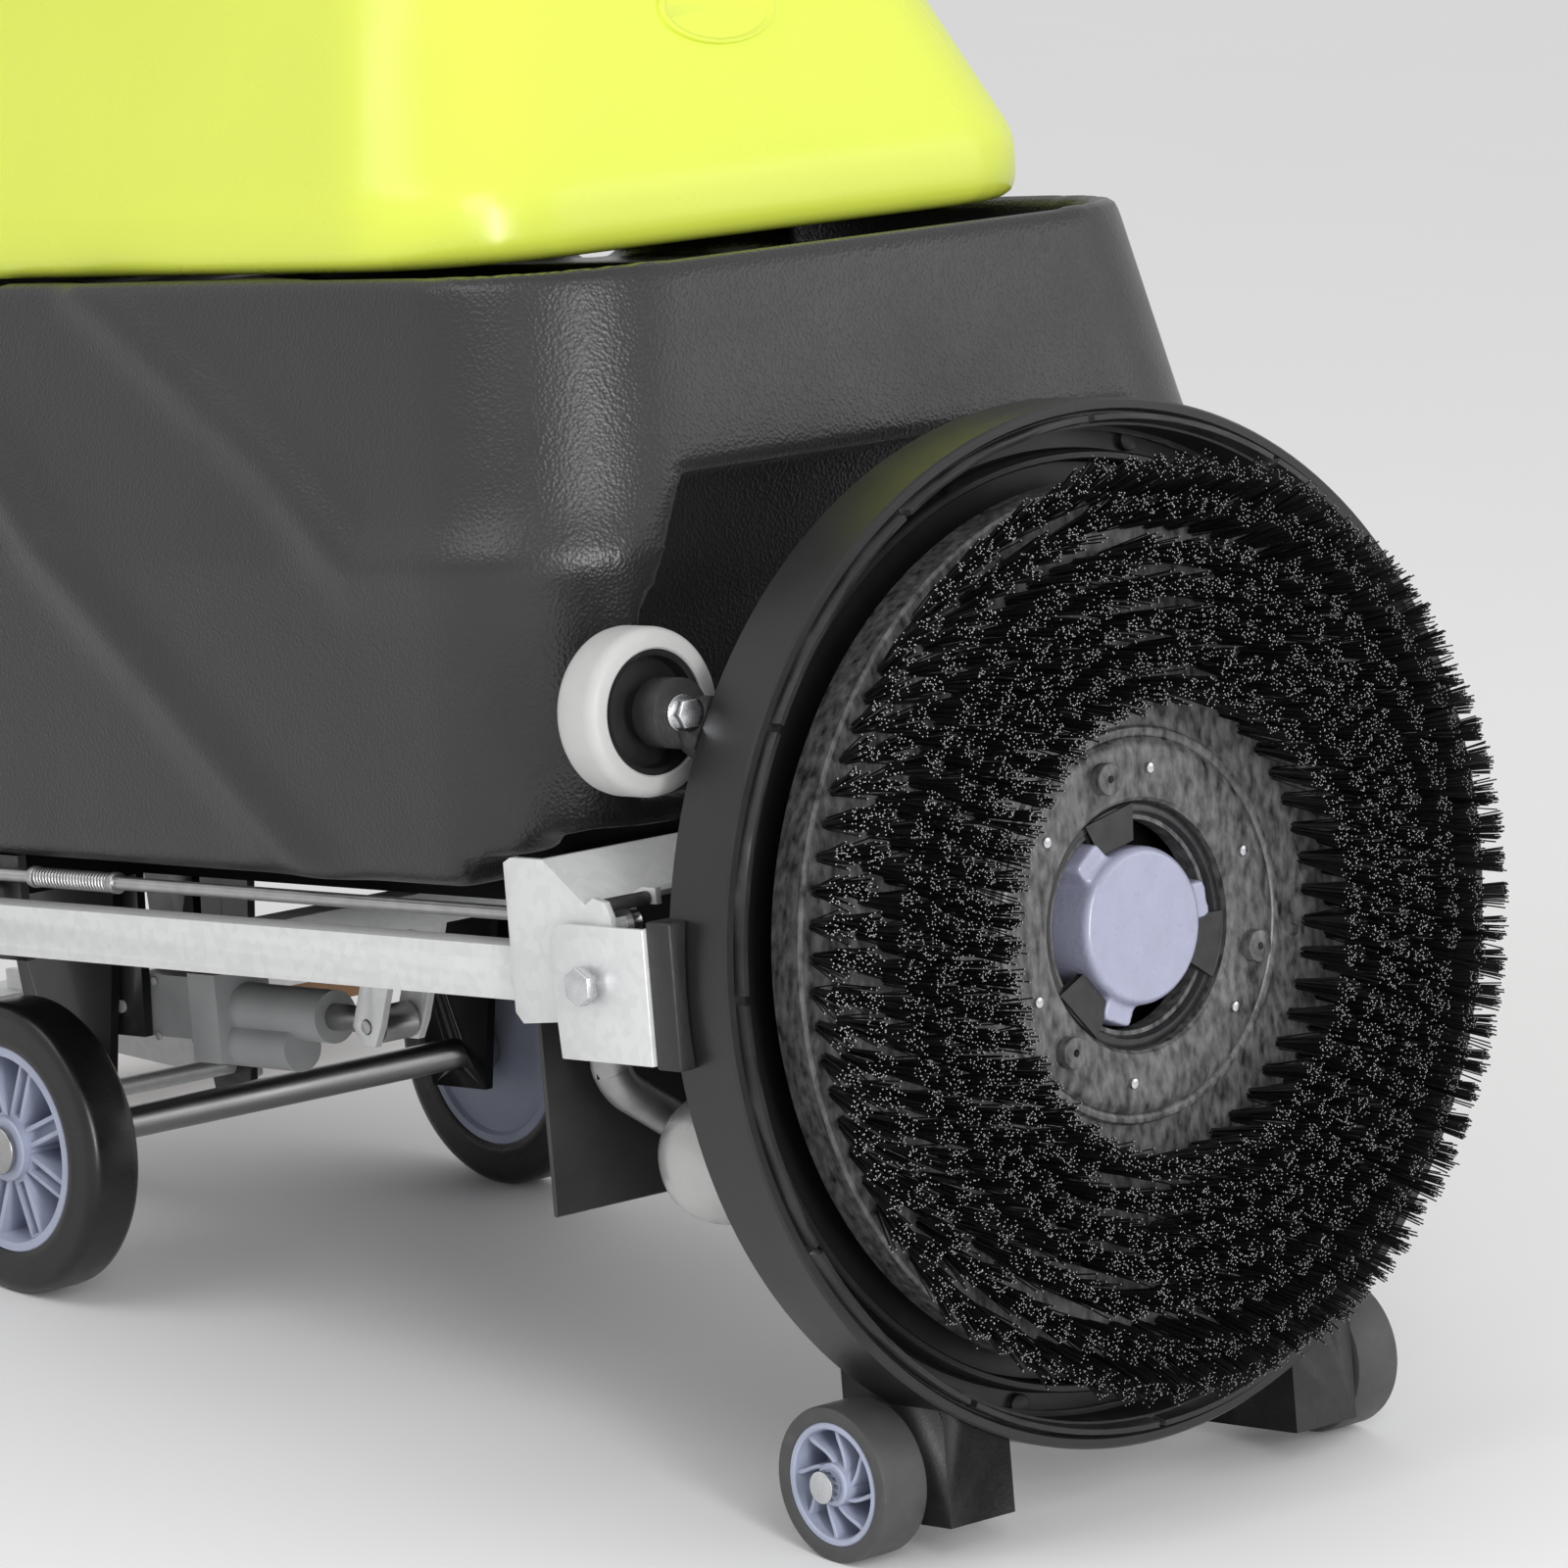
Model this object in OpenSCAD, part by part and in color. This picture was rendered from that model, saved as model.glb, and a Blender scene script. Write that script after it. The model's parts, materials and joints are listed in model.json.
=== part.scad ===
// Walk-behind floor scrubber with its disc brush deck flipped up for service.
// Every piece is drawn on a level machine: origin at the middle of the main axle, +Y to the rear,
// +Z up. The module level() then tips the machine nose-up onto its deck wheels.

/* [Stance] */
// Nose-up tilt of the machine when it stands on its deck wheels
pitch = 7; // [6:0.5:8]
// Shift that centres the finished machine on its own footprint
centre_y = 155.92; // [150:0.01:162]

/* [Wheels] */
// Radius of the two main wheels
main_r = 90; // [85:1:95]
// Width of a main wheel
main_w = 40; // [34:1:44]
// Distance from the centre plane to the outer face of a main wheel
main_out_x = 212; // [206:1:220]
// Radius of the main axle
axle_r = 10; // [8:0.5:12]
// Radius of the two small deck wheels
small_r = 43.5; // [42:0.5:43.5]
// Width of a small deck wheel
small_w = 33; // [28:1:34]
// Distance from the centre plane to the middle of a small wheel
small_x = 184; // [184:1:190]

/* [Deck] */
// Outside radius of the deck housing
deck_r = 290; // [284:1:292]
// Depth of the deck housing
deck_depth = 47; // [42:1:52]
// Outside radius of the brush at its bristle tips
brush_r = 280; // [270:1:284]
// Length of the bristles below the brush block
bristle_len = 45; // [38:1:48]
// Radius of the hole in the clutch plate
clutch_hole_r = 69; // [66:1:72]
// Radius of the circle the six bright rivets sit on
rivet_r = 87; // [82:1:92]
// Radius of the side wall roller
roller_r = 46; // [42:1:48]

/* [Lift] */
// Height of the square-edged arm tubes
arm_h = 30; // [26:1:32]
// Width of the arm tubes
arm_w = 20; // [18:1:20]
// Radius of the deck pivot bolts
bolt_r = 6; // [5:0.5:6]

/* [Tanks] */
// Half width of the solution tank at its rim
tank_half = 250; // [240:1:252]
// Wall thickness of the moulded tanks
wall = 7; // [5:0.5:9]
// Height of the solution tank's rim above the main axle
rim_z = 530; // [520:1:532]

/* [Squeegee] */
// Overall width of the squeegee
squeegee_w = 770; // [740:5:800]

/* [Hidden] */
$fn = 48;

// Running clearance on a radius, and the gap kept between bodies
run = 0.05;
gap = 0.5;

// Deck pivot line, and the deck's back face and axis
pivot_y = -679;
pivot_z = 154;
deck_back_y = -729;
deck_z = 145;
block_w = 25;
tip_w = 102;
block_front_w = tip_w - bristle_len;
block_r = 246;
tuft_inner_r = 128;
clutch_r = 104;
ring_wall = 7;

// Small wheels: the axle height that puts them on the same floor as the main wheels
small_y = -724;
small_z = (small_r - main_r + small_y * sin(pitch)) / cos(pitch);
small_axle_r = 6;

// Lift linkage
arm_out_x = 290;
arm_in_x = arm_out_x - arm_w;
arm_pivot_y = -90;
arm_pivot_z = pivot_z;
rod_rise = 29;
rod_r = 4;
rod_x = 270;
cross_y = -300;
lever_y = -275;
lever_z = 80;
ram_x = -120;
ram_pin_y = -44;
pin_r = 4;

// Tanks
floor_z = 193;
nose_y = -573;
nose_z = 221;
belly_z = 374;
tank_rear_y = 215;
well_half = 178;
hinge_x = 267;
hinge_z = 538;
dome_low = rim_z + 1;
dome_z = 845;

// Rear column, panel and handle
column_half = 150;
column_y = 225;
column_rear_y = 300;
column_top_z = 760;
panel_tilt = 25;
panel_at = [0, 285, 808];

// Squeegee
sq_pivot_y = 120;
sq_pivot_z = 0;
sq_y = 372;

/* ---- Helpers ---- */

// The machine's stance: every node is drawn level and then tipped nose-up
module level() {
    translate([0, centre_y, main_r])
        rotate([-pitch, 0, 0])
            children();
}

// A cylinder along X between two stations, at the current Y and Z
module bar_x(radius, from_x, to_x, sides = 48) {
    translate([from_x, 0, 0])
        rotate([0, 90, 0])
            cylinder(h = to_x - from_x, r = radius, $fn = sides);
}

// A cylinder along Y between two stations
module bar_y(radius, from_y, to_y, sides = 48) {
    translate([0, to_y, 0])
        rotate([90, 0, 0])
            cylinder(h = to_y - from_y, r = radius, $fn = sides);
}

// A box given by its two corners
module box(low, high) {
    translate(low)
        cube(high - low);
}

// Both sides of the machine
module both_sides() {
    children();
    mirror([1, 0, 0])
        children();
}

// The deck's own axes: local X across, local Y up, local Z forward from the back face
module on_deck() {
    translate([0, deck_back_y, deck_z])
        rotate([90, 0, 0])
            children();
}

// A flat plate in a plane of constant X, drawn by its outline in Y and Z
module plate_x(from_x, thick) {
    translate([from_x, 0, 0])
        rotate([90, 0, 90])
            linear_extrude(thick)
                children();
}

// One horizontal slice of a moulded tank: rounded in plan, one millimetre thick
module slice(half, front_y, rear_y, corner, z) {
    translate([0, (front_y + rear_y) / 2, z])
        linear_extrude(1)
            offset(r = corner, $fn = 32)
                square([2 * (half - corner), rear_y - front_y - 2 * corner], center = true);
}

// A hose or bent tube swept along a route by rings of a fixed number of sides
function unit(v) = v / norm(v);
function along(route, i) =
    unit(route[min(i + 1, len(route) - 1)] - route[max(i - 1, 0)]);
function ring_points(centre, dir, side, radius, sides) =
    [for (k = [0 : sides - 1])
        centre + radius * (cos(360 * k / sides) * side
            + sin(360 * k / sides) * cross(dir, side))];
module sweep(route, radius, side, sides = 12) {
    points = [for (i = [0 : len(route) - 1])
        let (dir = along(route, i), flat = unit(side - (side * dir) * dir))
            each ring_points(route[i], dir, flat, radius, sides)];
    last = (len(route) - 1) * sides;
    walls = [for (i = [0 : len(route) - 2], k = [0 : sides - 1])
        [i * sides + k, (i + 1) * sides + k,
         (i + 1) * sides + (k + 1) % sides, i * sides + (k + 1) % sides]];
    start_cap = [for (k = [0 : sides - 1]) k];
    end_cap = [for (k = [sides - 1 : -1 : 0]) last + k];
    polyhedron(points = points, faces = concat(walls, [start_cap, end_cap]), convexity = 4);
}

// Points of a cubic curve between two ends, for hoses that hang in a smooth bow
function bow(a, b, c, d, steps) =
    [for (i = [0 : steps])
        let (t = i / steps, s = 1 - t)
            s * s * s * a + 3 * s * s * t * b + 3 * s * t * t * c + t * t * t * d];

/* ---- Chassis ---- */

rail_x = 150;
rail_top = floor_z - 0.01;
rail_low = 168;
bracket_in_x = 256;
bracket_out_x = 262;

// Welded steel frame: two rails, four cross bars, axle plates and arm brackets
module chassis_frame() level() color("dimgray") {
    both_sides() {
        box([rail_x - 15, -510, rail_low], [rail_x + 15, 205, rail_top]);
        difference() {
            plate_x(rail_x - 3, 6)
                polygon([[-60, rail_low], [-26, -22], [26, -22], [60, rail_low]]);
            bar_x(axle_r, rail_x - 5, rail_x + 5);
        }
        difference() {
            box([bracket_in_x, arm_pivot_y - 24, 130], [bracket_out_x, arm_pivot_y + 24, rail_top]);
            translate([0, arm_pivot_y, arm_pivot_z])
                bar_x(7, bracket_in_x - 1, bracket_out_x + 1);
            translate([0, arm_pivot_y, arm_pivot_z + rod_rise])
                bar_x(3, bracket_in_x - 1, bracket_out_x + 1);
        }
        translate([0, arm_pivot_y, arm_pivot_z]) {
            bar_x(7, bracket_in_x, bracket_out_x);
            bar_x(8, bracket_out_x, arm_out_x + 2);
            bar_x(12, arm_out_x + gap + 1.5, arm_out_x + 6);
        }
        translate([0, arm_pivot_y, arm_pivot_z + rod_rise]) {
            bar_x(3, bracket_in_x, bracket_out_x);
            bar_x(pin_r, bracket_out_x, rod_x + 8);
        }
        difference() {
            plate_x(58, 6)
                polygon([[80, rail_low], [102, -18], [138, -18], [180, rail_low]]);
            translate([0, sq_pivot_y, sq_pivot_z])
                bar_x(6 + run, 56, 66);
        }
    }
    box([-bracket_in_x, arm_pivot_y - 15, rail_low], [bracket_in_x, arm_pivot_y + 15, rail_top]);
    box([-rail_x, -510, rail_low], [rail_x, -480, rail_top]);
    box([-rail_x, 80, rail_low], [rail_x, 110, rail_top]);
    box([-rail_x, 160, rail_low], [rail_x, 190, rail_top]);
    // Plates that hold the lift actuator's rear pin
    for (x = [-24, 18])
        difference() {
            plate_x(ram_x + x, 6)
                polygon([[-70, rail_low], [-64, 62], [-30, 62], [-20, rail_low]]);
            translate([0, ram_pin_y, lever_z])
                bar_x(pin_r, ram_x - 30, ram_x + 30);
        }
    box([ram_x - 30, -76, rail_low], [ram_x + 30, -20, rail_top]);
}

// Steel axle, pressed in the frame's plates
module main_axle() level() color("silver") {
    bar_x(axle_r, -main_out_x - 4, main_out_x + 4);
    both_sides() {
        bar_x(14, rail_x + 3.01, main_out_x - main_w - gap);
        bar_x(15, main_out_x + gap, main_out_x + 4);
    }
}

// Splash flap of black rubber sheet that hangs behind the flipped deck
flap_y = -586;
lip_y = -598;
module splash_flap() level() color("black")
    box([-264, flap_y - 1.5, 13], [264, flap_y + 1.5, 205]);

// Solution tank: roto-moulded shell round the battery well, with a filling trough at the front
module tank_body(inset) {
    hull() {
        slice(271 - inset, -612 + inset, tank_rear_y - inset, 95, floor_z + inset);
        slice(278 - inset, -641 + inset, tank_rear_y - inset, 100, belly_z);
    }
    hull() {
        slice(278 - inset, -641 + inset, tank_rear_y - inset, 100, belly_z);
        slice(tank_half - inset, -618 + inset, tank_rear_y - inset, 105, rim_z - 1 - inset);
    }
}

module solution_tank() level() color("#3e3e3e") {
    difference() {
        tank_body(0);
        difference() {
            tank_body(wall);
            box([-300, -700, 0], [300, -511, 257]);
            box([-214, -700, 0], [214, -538, 427]);
            box([-well_half - wall, -240 - wall, 0], [well_half + wall, 120 + wall, 600]);
            box([-300, -700, rim_z - 65 - wall], [300, 300, 600]);
        }
        // Battery well, open at the top
        box([-well_half, -240, floor_z + 12], [well_half, 120, 600]);
        // Filling trough in front of the recovery tank
        hull() {
            slice(232, -602, -330, 90, rim_z - 62);
            slice(236, -606, -330, 92, rim_z);
        }
        box([-232, -330, rim_z - 30], [232, 190, rim_z + 10]);
        // The underside steps up at the nose
        box([-300, -700, 100], [300, nose_y, nose_z]);
        // Pocket in the underside for the motor and hoop when the deck is down
        box([-262, lip_y, 150], [262, -540, 206]);
        box([-216, lip_y, 150], [216, -504, 250]);
        // Arched recess in the front wall
        hull() {
            box([-204, -700, 240], [204, -560, 335]);
            box([-168, -700, 240], [168, -575, 412]);
        }
        // Finger notch at each side
        both_sides()
            box([225, -120, rim_z - 34], [300, -60, rim_z + 10]);
        // Filler bore through the trough's floor
        translate([0, -420, rim_z - 90])
            cylinder(h = 60, r = 32);
    }
    // Moulded lip that the splash flap is screwed to
    box([-150, lip_y - 1, 200], [150, flap_y - 1.51, 226]);
    // Hinge lugs for the recovery tank
    for (y = [-150, 90])
        difference() {
            box([tank_half - 20, y, rim_z - 40], [hinge_x + 9, y + 20, hinge_z + 9]);
            translate([hinge_x, 0, hinge_z])
                bar_y(4 + run, y - 1, y + 21);
            box([tank_half - 30, y - 1, rim_z + 0.5], [hinge_x - 9, y + 21, hinge_z + 20]);
        }
}

// Two sealed traction batteries side by side along the machine
module batteries() level() color("#2b2b30")
    for (y = [-236, -56])
        box([-165, y, floor_z + 12.01], [165, y + 172, 430]);

// Rear column: hollow moulding that carries the panel and houses the vacuum motor
module rear_column() level() color("#3e3e3e")
    difference() {
        union() {
            hull() {
                box([-column_half, tank_rear_y + 0.01, floor_z], [column_half, column_rear_y, 420]);
                box([-column_half + 20, column_y + 25, 730], [column_half - 20, 330, column_top_z]);
            }
            translate([0, 0, 335])
                bar_y(26, column_rear_y - 5, column_rear_y + 14);
        }
        hull() {
            box([-column_half + wall, tank_rear_y + wall, floor_z + wall],
                [column_half - wall, column_rear_y - wall, 420]);
            box([-column_half + 27, column_y + 32, 725], [column_half - 27, 323, column_top_z - wall]);
        }
        translate([0, 0, 335])
            bar_y(19.5, column_rear_y - 30, column_rear_y + 20);
        // Pocket for the charging socket
        translate([-80, 0, 480])
            bar_y(24.1, 270, 340);
    }

// Two-stage vacuum motor inside the column
module vacuum_motor() level() color("gray")
    translate([0, 276, 600]) {
        cylinder(h = 70, r = 24);
        translate([0, 0, -46])
            cylinder(h = 46, r = 27);
        box([-column_half + 45, -22, -60], [column_half - 45, 22, -46]);
    }

// Control panel housing on top of the column
module on_panel()
    translate(panel_at)
        rotate([panel_tilt, 0, 0])
            children();

module control_panel() level() color("#333333")
    difference() {
        union() {
            box([-column_half + 20, column_y + 25, column_top_z + 0.01],
                [column_half - 20, 330, column_top_z + 30]);
            on_panel()
                hull() {
                    translate([0, 0, -22])
                        linear_extrude(4)
                            offset(r = 20, $fn = 32)
                                square([330, 90], center = true);
                    translate([0, 0, 26])
                        linear_extrude(4)
                            offset(r = 20, $fn = 32)
                                square([300, 80], center = true);
                }
        }
        on_panel() {
            for (x = [-100, -60])
                translate([x, 0, 18])
                    cylinder(h = 30, r = 11.5);
            translate([110, 0, 18])
                cylinder(h = 30, r = 9.5);
        }
        // Sockets for the handle's ends
        both_sides()
            translate([0, 290, handle_z])
                bar_x(handle_r + 0.05, 149.9, 200);
    }

module key_switch() level() color("silver")
    on_panel()
        translate([110, 0, 18.01]) {
            cylinder(h = 13, r = 9);
            box([-2, -8, 13], [2, 8, 34]);
        }

module panel_button(x)
    on_panel()
        translate([x, 0, 22])
            cylinder(h = 13, r = 11);

module brush_button() level() color("seagreen")
    panel_button(-100);

module vacuum_button() level() color("steelblue")
    panel_button(-60);

// Bent steel handle that both hands hold, run back from the panel's sides
handle_r = 14;
handle_z = 812;
handle_half = 205;
module handle_tube() level() color("black") {
    both_sides()
        sweep([[150, 290, handle_z], [188, 290, handle_z], [198, 293, handle_z],
               [handle_half, 303, handle_z + 2], [handle_half + 2, 320, handle_z + 4],
               [handle_half, 370, handle_z + 10]], handle_r, [0, 0, 1]);
    both_sides()
        sweep([[handle_half, 370, handle_z + 10], [handle_half - 2, 392, handle_z + 13],
               [handle_half - 12, 408, handle_z + 15], [handle_half - 30, 416, handle_z + 16],
               [0, 416, handle_z + 16]], handle_r, [0, 0, 1]);
}

// Start lever under the handle, turning on a rod through the panel's rear
lever_pivot = [0, 352, 770];
module start_lever() level() color("gold")
    translate(lever_pivot) {
        bar_x(4, -120, 120);
        both_sides()
            plate_x(110, 6)
                polygon([[-7, -7], [7, -7], [52, 22], [52, 32], [40, 32], [-7, 8]]);
        translate([0, 46, 27])
            bar_x(5, -110, 110);
    }

// Charging inlet in the column's rear face
module charge_socket() level() color("black")
    translate([-80, 0, 480])
        difference() {
            union() {
                bar_y(24, 285, 320);
                bar_y(30, 319, 327);
            }
            bar_y(16, 295, 340);
        }

// Drain spigot with a quarter-turn tap under the tank's right side
spigot_y = 40;
spigot_z = 178;
module drain_spigot() level() color("#505058")
    translate([-230, spigot_y, spigot_z]) {
        difference() {
            union() {
                translate([0, 0, -1])
                    cylinder(h = 15.99, r = 16);
                bar_x(12, -50, 0);
                bar_x(14, -17, 0);
                translate([0, 0, -14])
                    cylinder(h = 14, r = 10);
            }
            bar_x(8, -60, 0);
        }
    }

module drain_tap() level() color("red")
    translate([-230, spigot_y, spigot_z - 14 - gap]) {
        translate([0, 0, -8])
            cylinder(h = 8, r = 9);
        box([-5, -34, -6], [5, 0, -1]);
    }

// Solenoid valve and water line under the tank, to the brush deck
module solenoid_valve() level() color("#1d1d1d")
    translate([60, -240, rail_low]) {
        box([-18, -22, -26], [18, 22, -0.01]);
        translate([0, 0, -44])
            cylinder(h = 20, r = 14);
        translate([0, 0, -0.01])
            cylinder(h = 25, r = 9);
    }

/* ---- Lift linkage ---- */

// Linear actuator: gear motor housing and outer tube
module actuator_body() level() color("darkgray")
    translate([ram_x, ram_pin_y, lever_z]) {
        bar_x(pin_r - run, -26, 26);
        difference() {
            union() {
                bar_x(15, -17, 17);
                box([-17, -70, -18], [17, -8, 20]);
                box([-24, -94, -30], [17, -67.5, 24]);
                translate([-5, 0, -20])
                    bar_y(14, -150, -80);
                bar_y(16, -178, -60);
            }
            bar_y(8.05, -200, -66);
        }
    }

module actuator_rod() level() color("silver")
    translate([ram_x, lever_y, lever_z]) {
        bar_y(8, 8, ram_pin_y - lever_y - 84);
        bar_x(11, -12, 12);
        bar_x(pin_r, -20, 20);
    }

// Lift arms: rectangular tubes, their cross tube and the actuator's lever
module lift_arms() level() color("silver") {
    both_sides()
        difference() {
            union() {
                box([arm_in_x, pivot_y, pivot_z - arm_h / 2], [arm_out_x, arm_pivot_y, pivot_z + arm_h / 2]);
                for (y = [pivot_y, arm_pivot_y])
                    translate([0, y, pivot_z])
                        bar_x(arm_h / 2, arm_in_x, arm_out_x);
            }
            box([arm_in_x + 2.5, pivot_y + 24, pivot_z - arm_h / 2 + 2.5],
                [arm_out_x - 2.5, arm_pivot_y - 24, pivot_z + arm_h / 2 - 2.5]);
            translate([0, pivot_y, pivot_z])
                bar_x(bolt_r, arm_in_x - 1, arm_out_x + 1);
            translate([0, arm_pivot_y, pivot_z])
                bar_x(8 + run, arm_in_x - 1, arm_out_x + 1);
        }
    box([-arm_in_x, cross_y - 15, pivot_z - 15], [arm_in_x, cross_y + 15, pivot_z + 5]);
    for (x = [-19, 14])
        difference() {
            plate_x(ram_x + x, 5)
                polygon([[cross_y - 12, pivot_z - 14], [lever_y - 13, lever_z], [lever_y - 6, lever_z - 12],
                         [lever_y + 6, lever_z - 12], [lever_y + 13, lever_z], [cross_y + 14, pivot_z - 14]]);
            translate([0, lever_y, lever_z])
                bar_x(pin_r + 0.6, ram_x - 30, ram_x + 30);
        }
}

// Pivot bolts of the deck, with washer and nut
module pivot_bolts() level() color("silver")
    both_sides()
        translate([0, pivot_y, pivot_z]) {
            bar_x(bolt_r, arm_in_x - 8, 305);
            bar_x(10.9, 305, 312, 6);
            bar_x(10.9, arm_in_x - 8, arm_in_x - 0.01, 6);
        }

// Upper rods that keep the carrier level
module upper_rods() level() color("dimgray")
    both_sides()
        for (y = [pivot_y, arm_pivot_y])
            translate([rod_x, 0, pivot_z + rod_rise]) {
                difference() {
                    union() {
                        if (y == pivot_y)
                            bar_y(rod_r, pivot_y + 6, arm_pivot_y - 6);
                        translate([0, y, 0])
                            bar_x(9, -1, 5);
                    }
                    translate([0, y, 0])
                        bar_x(pin_r + run, -6, 8);
                }
            }

// Compression spring on the rear end of each upper rod, between two collars
module rod_springs() level() color("gray")
    both_sides()
        translate([rod_x, 0, pivot_z + rod_rise])
            difference() {
                union() {
                    bar_y(5.4, -215, -145);
                    bar_y(6.5, -145, -139);
                    bar_y(6.5, -221, -215);
                }
                bar_y(rod_r + 0.02, -225, -135);
            }

// Carrier: galvanised side plates joined by a slanted sheet above the pivot line
plate_in_x = 292;
plate_t = 4;
latch_in_x = 258;
latch_r = 3.9;
module carrier_frame() level() color("gainsboro") {
    both_sides() {
        difference() {
            plate_x(plate_in_x, plate_t)
                translate([pivot_y, pivot_z])
                    polygon([[-14, -14], [-8, -20], [66, -26], [72, -20], [72, 62], [66, 65], [39, 65],
                             [6, 42], [-1, 46], [-10, 44], [-14, 36]]);
            translate([0, pivot_y, pivot_z])
                bar_x(bolt_r + run, plate_in_x - 1, plate_in_x + plate_t + 1);
        }
        translate([0, pivot_y, pivot_z + rod_rise])
            bar_x(pin_r, rod_x - 3, plate_in_x + 0.5);
    }
    plate_x(-plate_in_x - 0.5, 2 * plate_in_x + 1)
        translate([pivot_y, pivot_z])
            polygon([[6, 39], [6, 42], [39, 65], [43, 65], [43, 62], [39, 62]]);
    // Inner tabs that hold the latch pin's far end
    both_sides()
        plate_x(latch_in_x, plate_t)
            translate([pivot_y, pivot_z])
                polygon([[-13, 38], [-13, 47], [-2, 47], [10, 41.5], [7, 39.5], [2, 38]]);
}

module latch_pin() level() color("silver")
    translate([0, pivot_y - 6, pivot_z + 41.4])
        both_sides()
            bar_x(latch_r, latch_in_x + plate_t + 0.01, plate_in_x - 0.01);

/* ---- Brush deck ---- */

// Deck housing: back plate, outer band and inner stiffening ring
module deck_housing() level() color("#3a3a3a")
    on_deck()
        rotate_extrude($fn = 128)
            polygon([[46, 0], [deck_r, 0], [deck_r, deck_depth], [deck_r - ring_wall, deck_depth],
                     [deck_r - ring_wall, 7], [261, 7], [261, 24], [256, 24], [256, 7], [46, 7]]);

// Segmented splash skirt inside the housing's lip
module splash_skirt() level() color("#1c1c1c")
    on_deck() {
        rotate_extrude($fn = 128)
            polygon([[272, 7.01], [282.9, 7.01], [282.9, 12], [278.5, 12], [278.5, 40], [282.9, 40],
                     [282.9, 43], [275, 43], [275, 12], [272, 12]]);
        for (i = [0 : 11])
            rotate([0, 0, 30 * i])
                rotate_extrude(angle = 29, $fn = 128)
                    polygon([[276, 41], [281.5, 41], [281.5, 52], [278.5, 52]]);
    }

// Black cast ears that wrap the housing's edge and carry the hinge plates
ear_y = pivot_y - 47.01;
module deck_ears() level() color("#222222")
    both_sides()
        difference() {
            box([270, deck_back_y - 16, pivot_z - 44], [300, ear_y, pivot_z + 36]);
            on_deck()
                cylinder(h = 20, r = deck_r + 0.01, $fn = 128);
        }

// Folded steel hinge plates that turn on the pivot bolts
module hinge_plates() level() color("gainsboro")
    both_sides() {
        difference() {
            plate_x(298.61, 4)
                translate([pivot_y, pivot_z])
                    polygon([[-47, -42], [28, -42], [30, -14], [30, 24], [22, 32], [-47, 32]]);
            translate([0, pivot_y, pivot_z])
                bar_x(bolt_r + run, 295, 305);
        }
        box([285, pivot_y - 47, pivot_z - 42], [302.61, pivot_y - 43, pivot_z + 32]);
    }

// Worm gearbox on the deck's axis, with the output shaft
motor_y = -671;
motor_z = 44;
gear_end_w = 74;
module gearbox() level() color("gray") {
    on_deck()
        translate([0, 0, -gear_end_w])
            cylinder(h = gear_end_w - 0.01, r = 42);
    difference() {
        box([-42, deck_back_y + 8, motor_z - 30], [42, deck_back_y + gear_end_w - 8, deck_z]);
        translate([0, motor_y, motor_z])
            bar_x(30, -50, 50);
    }
    box([-46, deck_back_y + 0.01, deck_z - 60], [46, deck_back_y + 9, deck_z + 36]);
    on_deck()
        cylinder(h = 34, r = 12.5);
}

// Brush drive motor lying across the deck
motor_r = 38;
module drive_motor() level() color("silver")
    translate([0, motor_y, motor_z]) {
        rotate([0, -90, 0])
            rotate_extrude()
                polygon([[0, 42.01], [motor_r, 42.01], [motor_r, 216], [motor_r - 3, 227],
                         [motor_r - 10, 236], [motor_r - 20, 241], [0, 242]]);
        bar_x(29.9, -42.01, 42);
    }

// Bent steel tube hoop used to pull the deck up
hoop_r = 11;
module pull_hoop() level() color("darkgray")
    both_sides()
        sweep([[253, -728.98, 128], [253, -712, 128], [253, -690, 128], [253, -650, 122], [252, -628, 110],
               [249, -624, 96], [238, -624, 80], [218, -624, 62], [195, -621, 48], [170, -614, 38],
               [140, -607, 31], [110, -605, 28], [0, -605, 28]], hoop_r, [0, 0.3, 1]);

// Ribbed brackets that hold the small wheels
bracket_x0 = 110;
bracket_x1 = 158;
module wheel_brackets() level() color("#1c1c1c")
    both_sides()
        difference() {
            union() {
                difference() {
                    box([bracket_x0, -772, small_z - 28], [bracket_x1, -692, -72]);
                    for (i = [0 : 2])
                        box([bracket_x0 + 5, -767 + 26 * i, small_z - 40],
                            [bracket_x1 - 5, -746 + 26 * i, small_z - 13]);
                }
                translate([0, small_y, small_z])
                    bar_x(12, bracket_x1 - 1, small_x - small_w / 2 - gap);
            }
            on_deck()
                translate([0, 0, -0.01])
                    cylinder(h = deck_depth + 20, r = deck_r + 0.01, $fn = 128);
            translate([0, small_y, small_z])
                bar_x(small_axle_r, bracket_x0 - 1, small_x);
        }

module deck_axles() level() color("silver")
    both_sides()
        translate([0, small_y, small_z]) {
            bar_x(small_axle_r, bracket_x0 - 8, small_x + small_w / 2 + 4);
            bar_x(9, small_x + small_w / 2 + gap, small_x + small_w / 2 + 7);
            bar_x(8, bracket_x0 - 8, bracket_x0 - 0.01, 6);
        }

// Wall roller bracket on the housing's back, with the roller's bolt
roller_x = -258;
roller_z = 296;
roller_front_y = -701;
roller_w = 32;
module at_roller()
    translate([roller_x, 0, roller_z])
        children();

module roller_bracket() level() color("#1c1c1c")
    difference() {
        union() {
            at_roller()
                bar_y(19, deck_back_y + 8, roller_front_y - 2);
            hull() {
                at_roller()
                    translate([12, 0, -8])
                        bar_y(16, deck_back_y + 0.01, deck_back_y + 12, 32);
                translate([roller_x + 34, 0, roller_z - 30])
                    bar_y(14, deck_back_y + 0.01, deck_back_y + 12, 32);
            }
        }
        at_roller() {
            bar_y(5, -760, -690);
            bar_y(9.6, -760, deck_back_y + 8);
        }
    }

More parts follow.
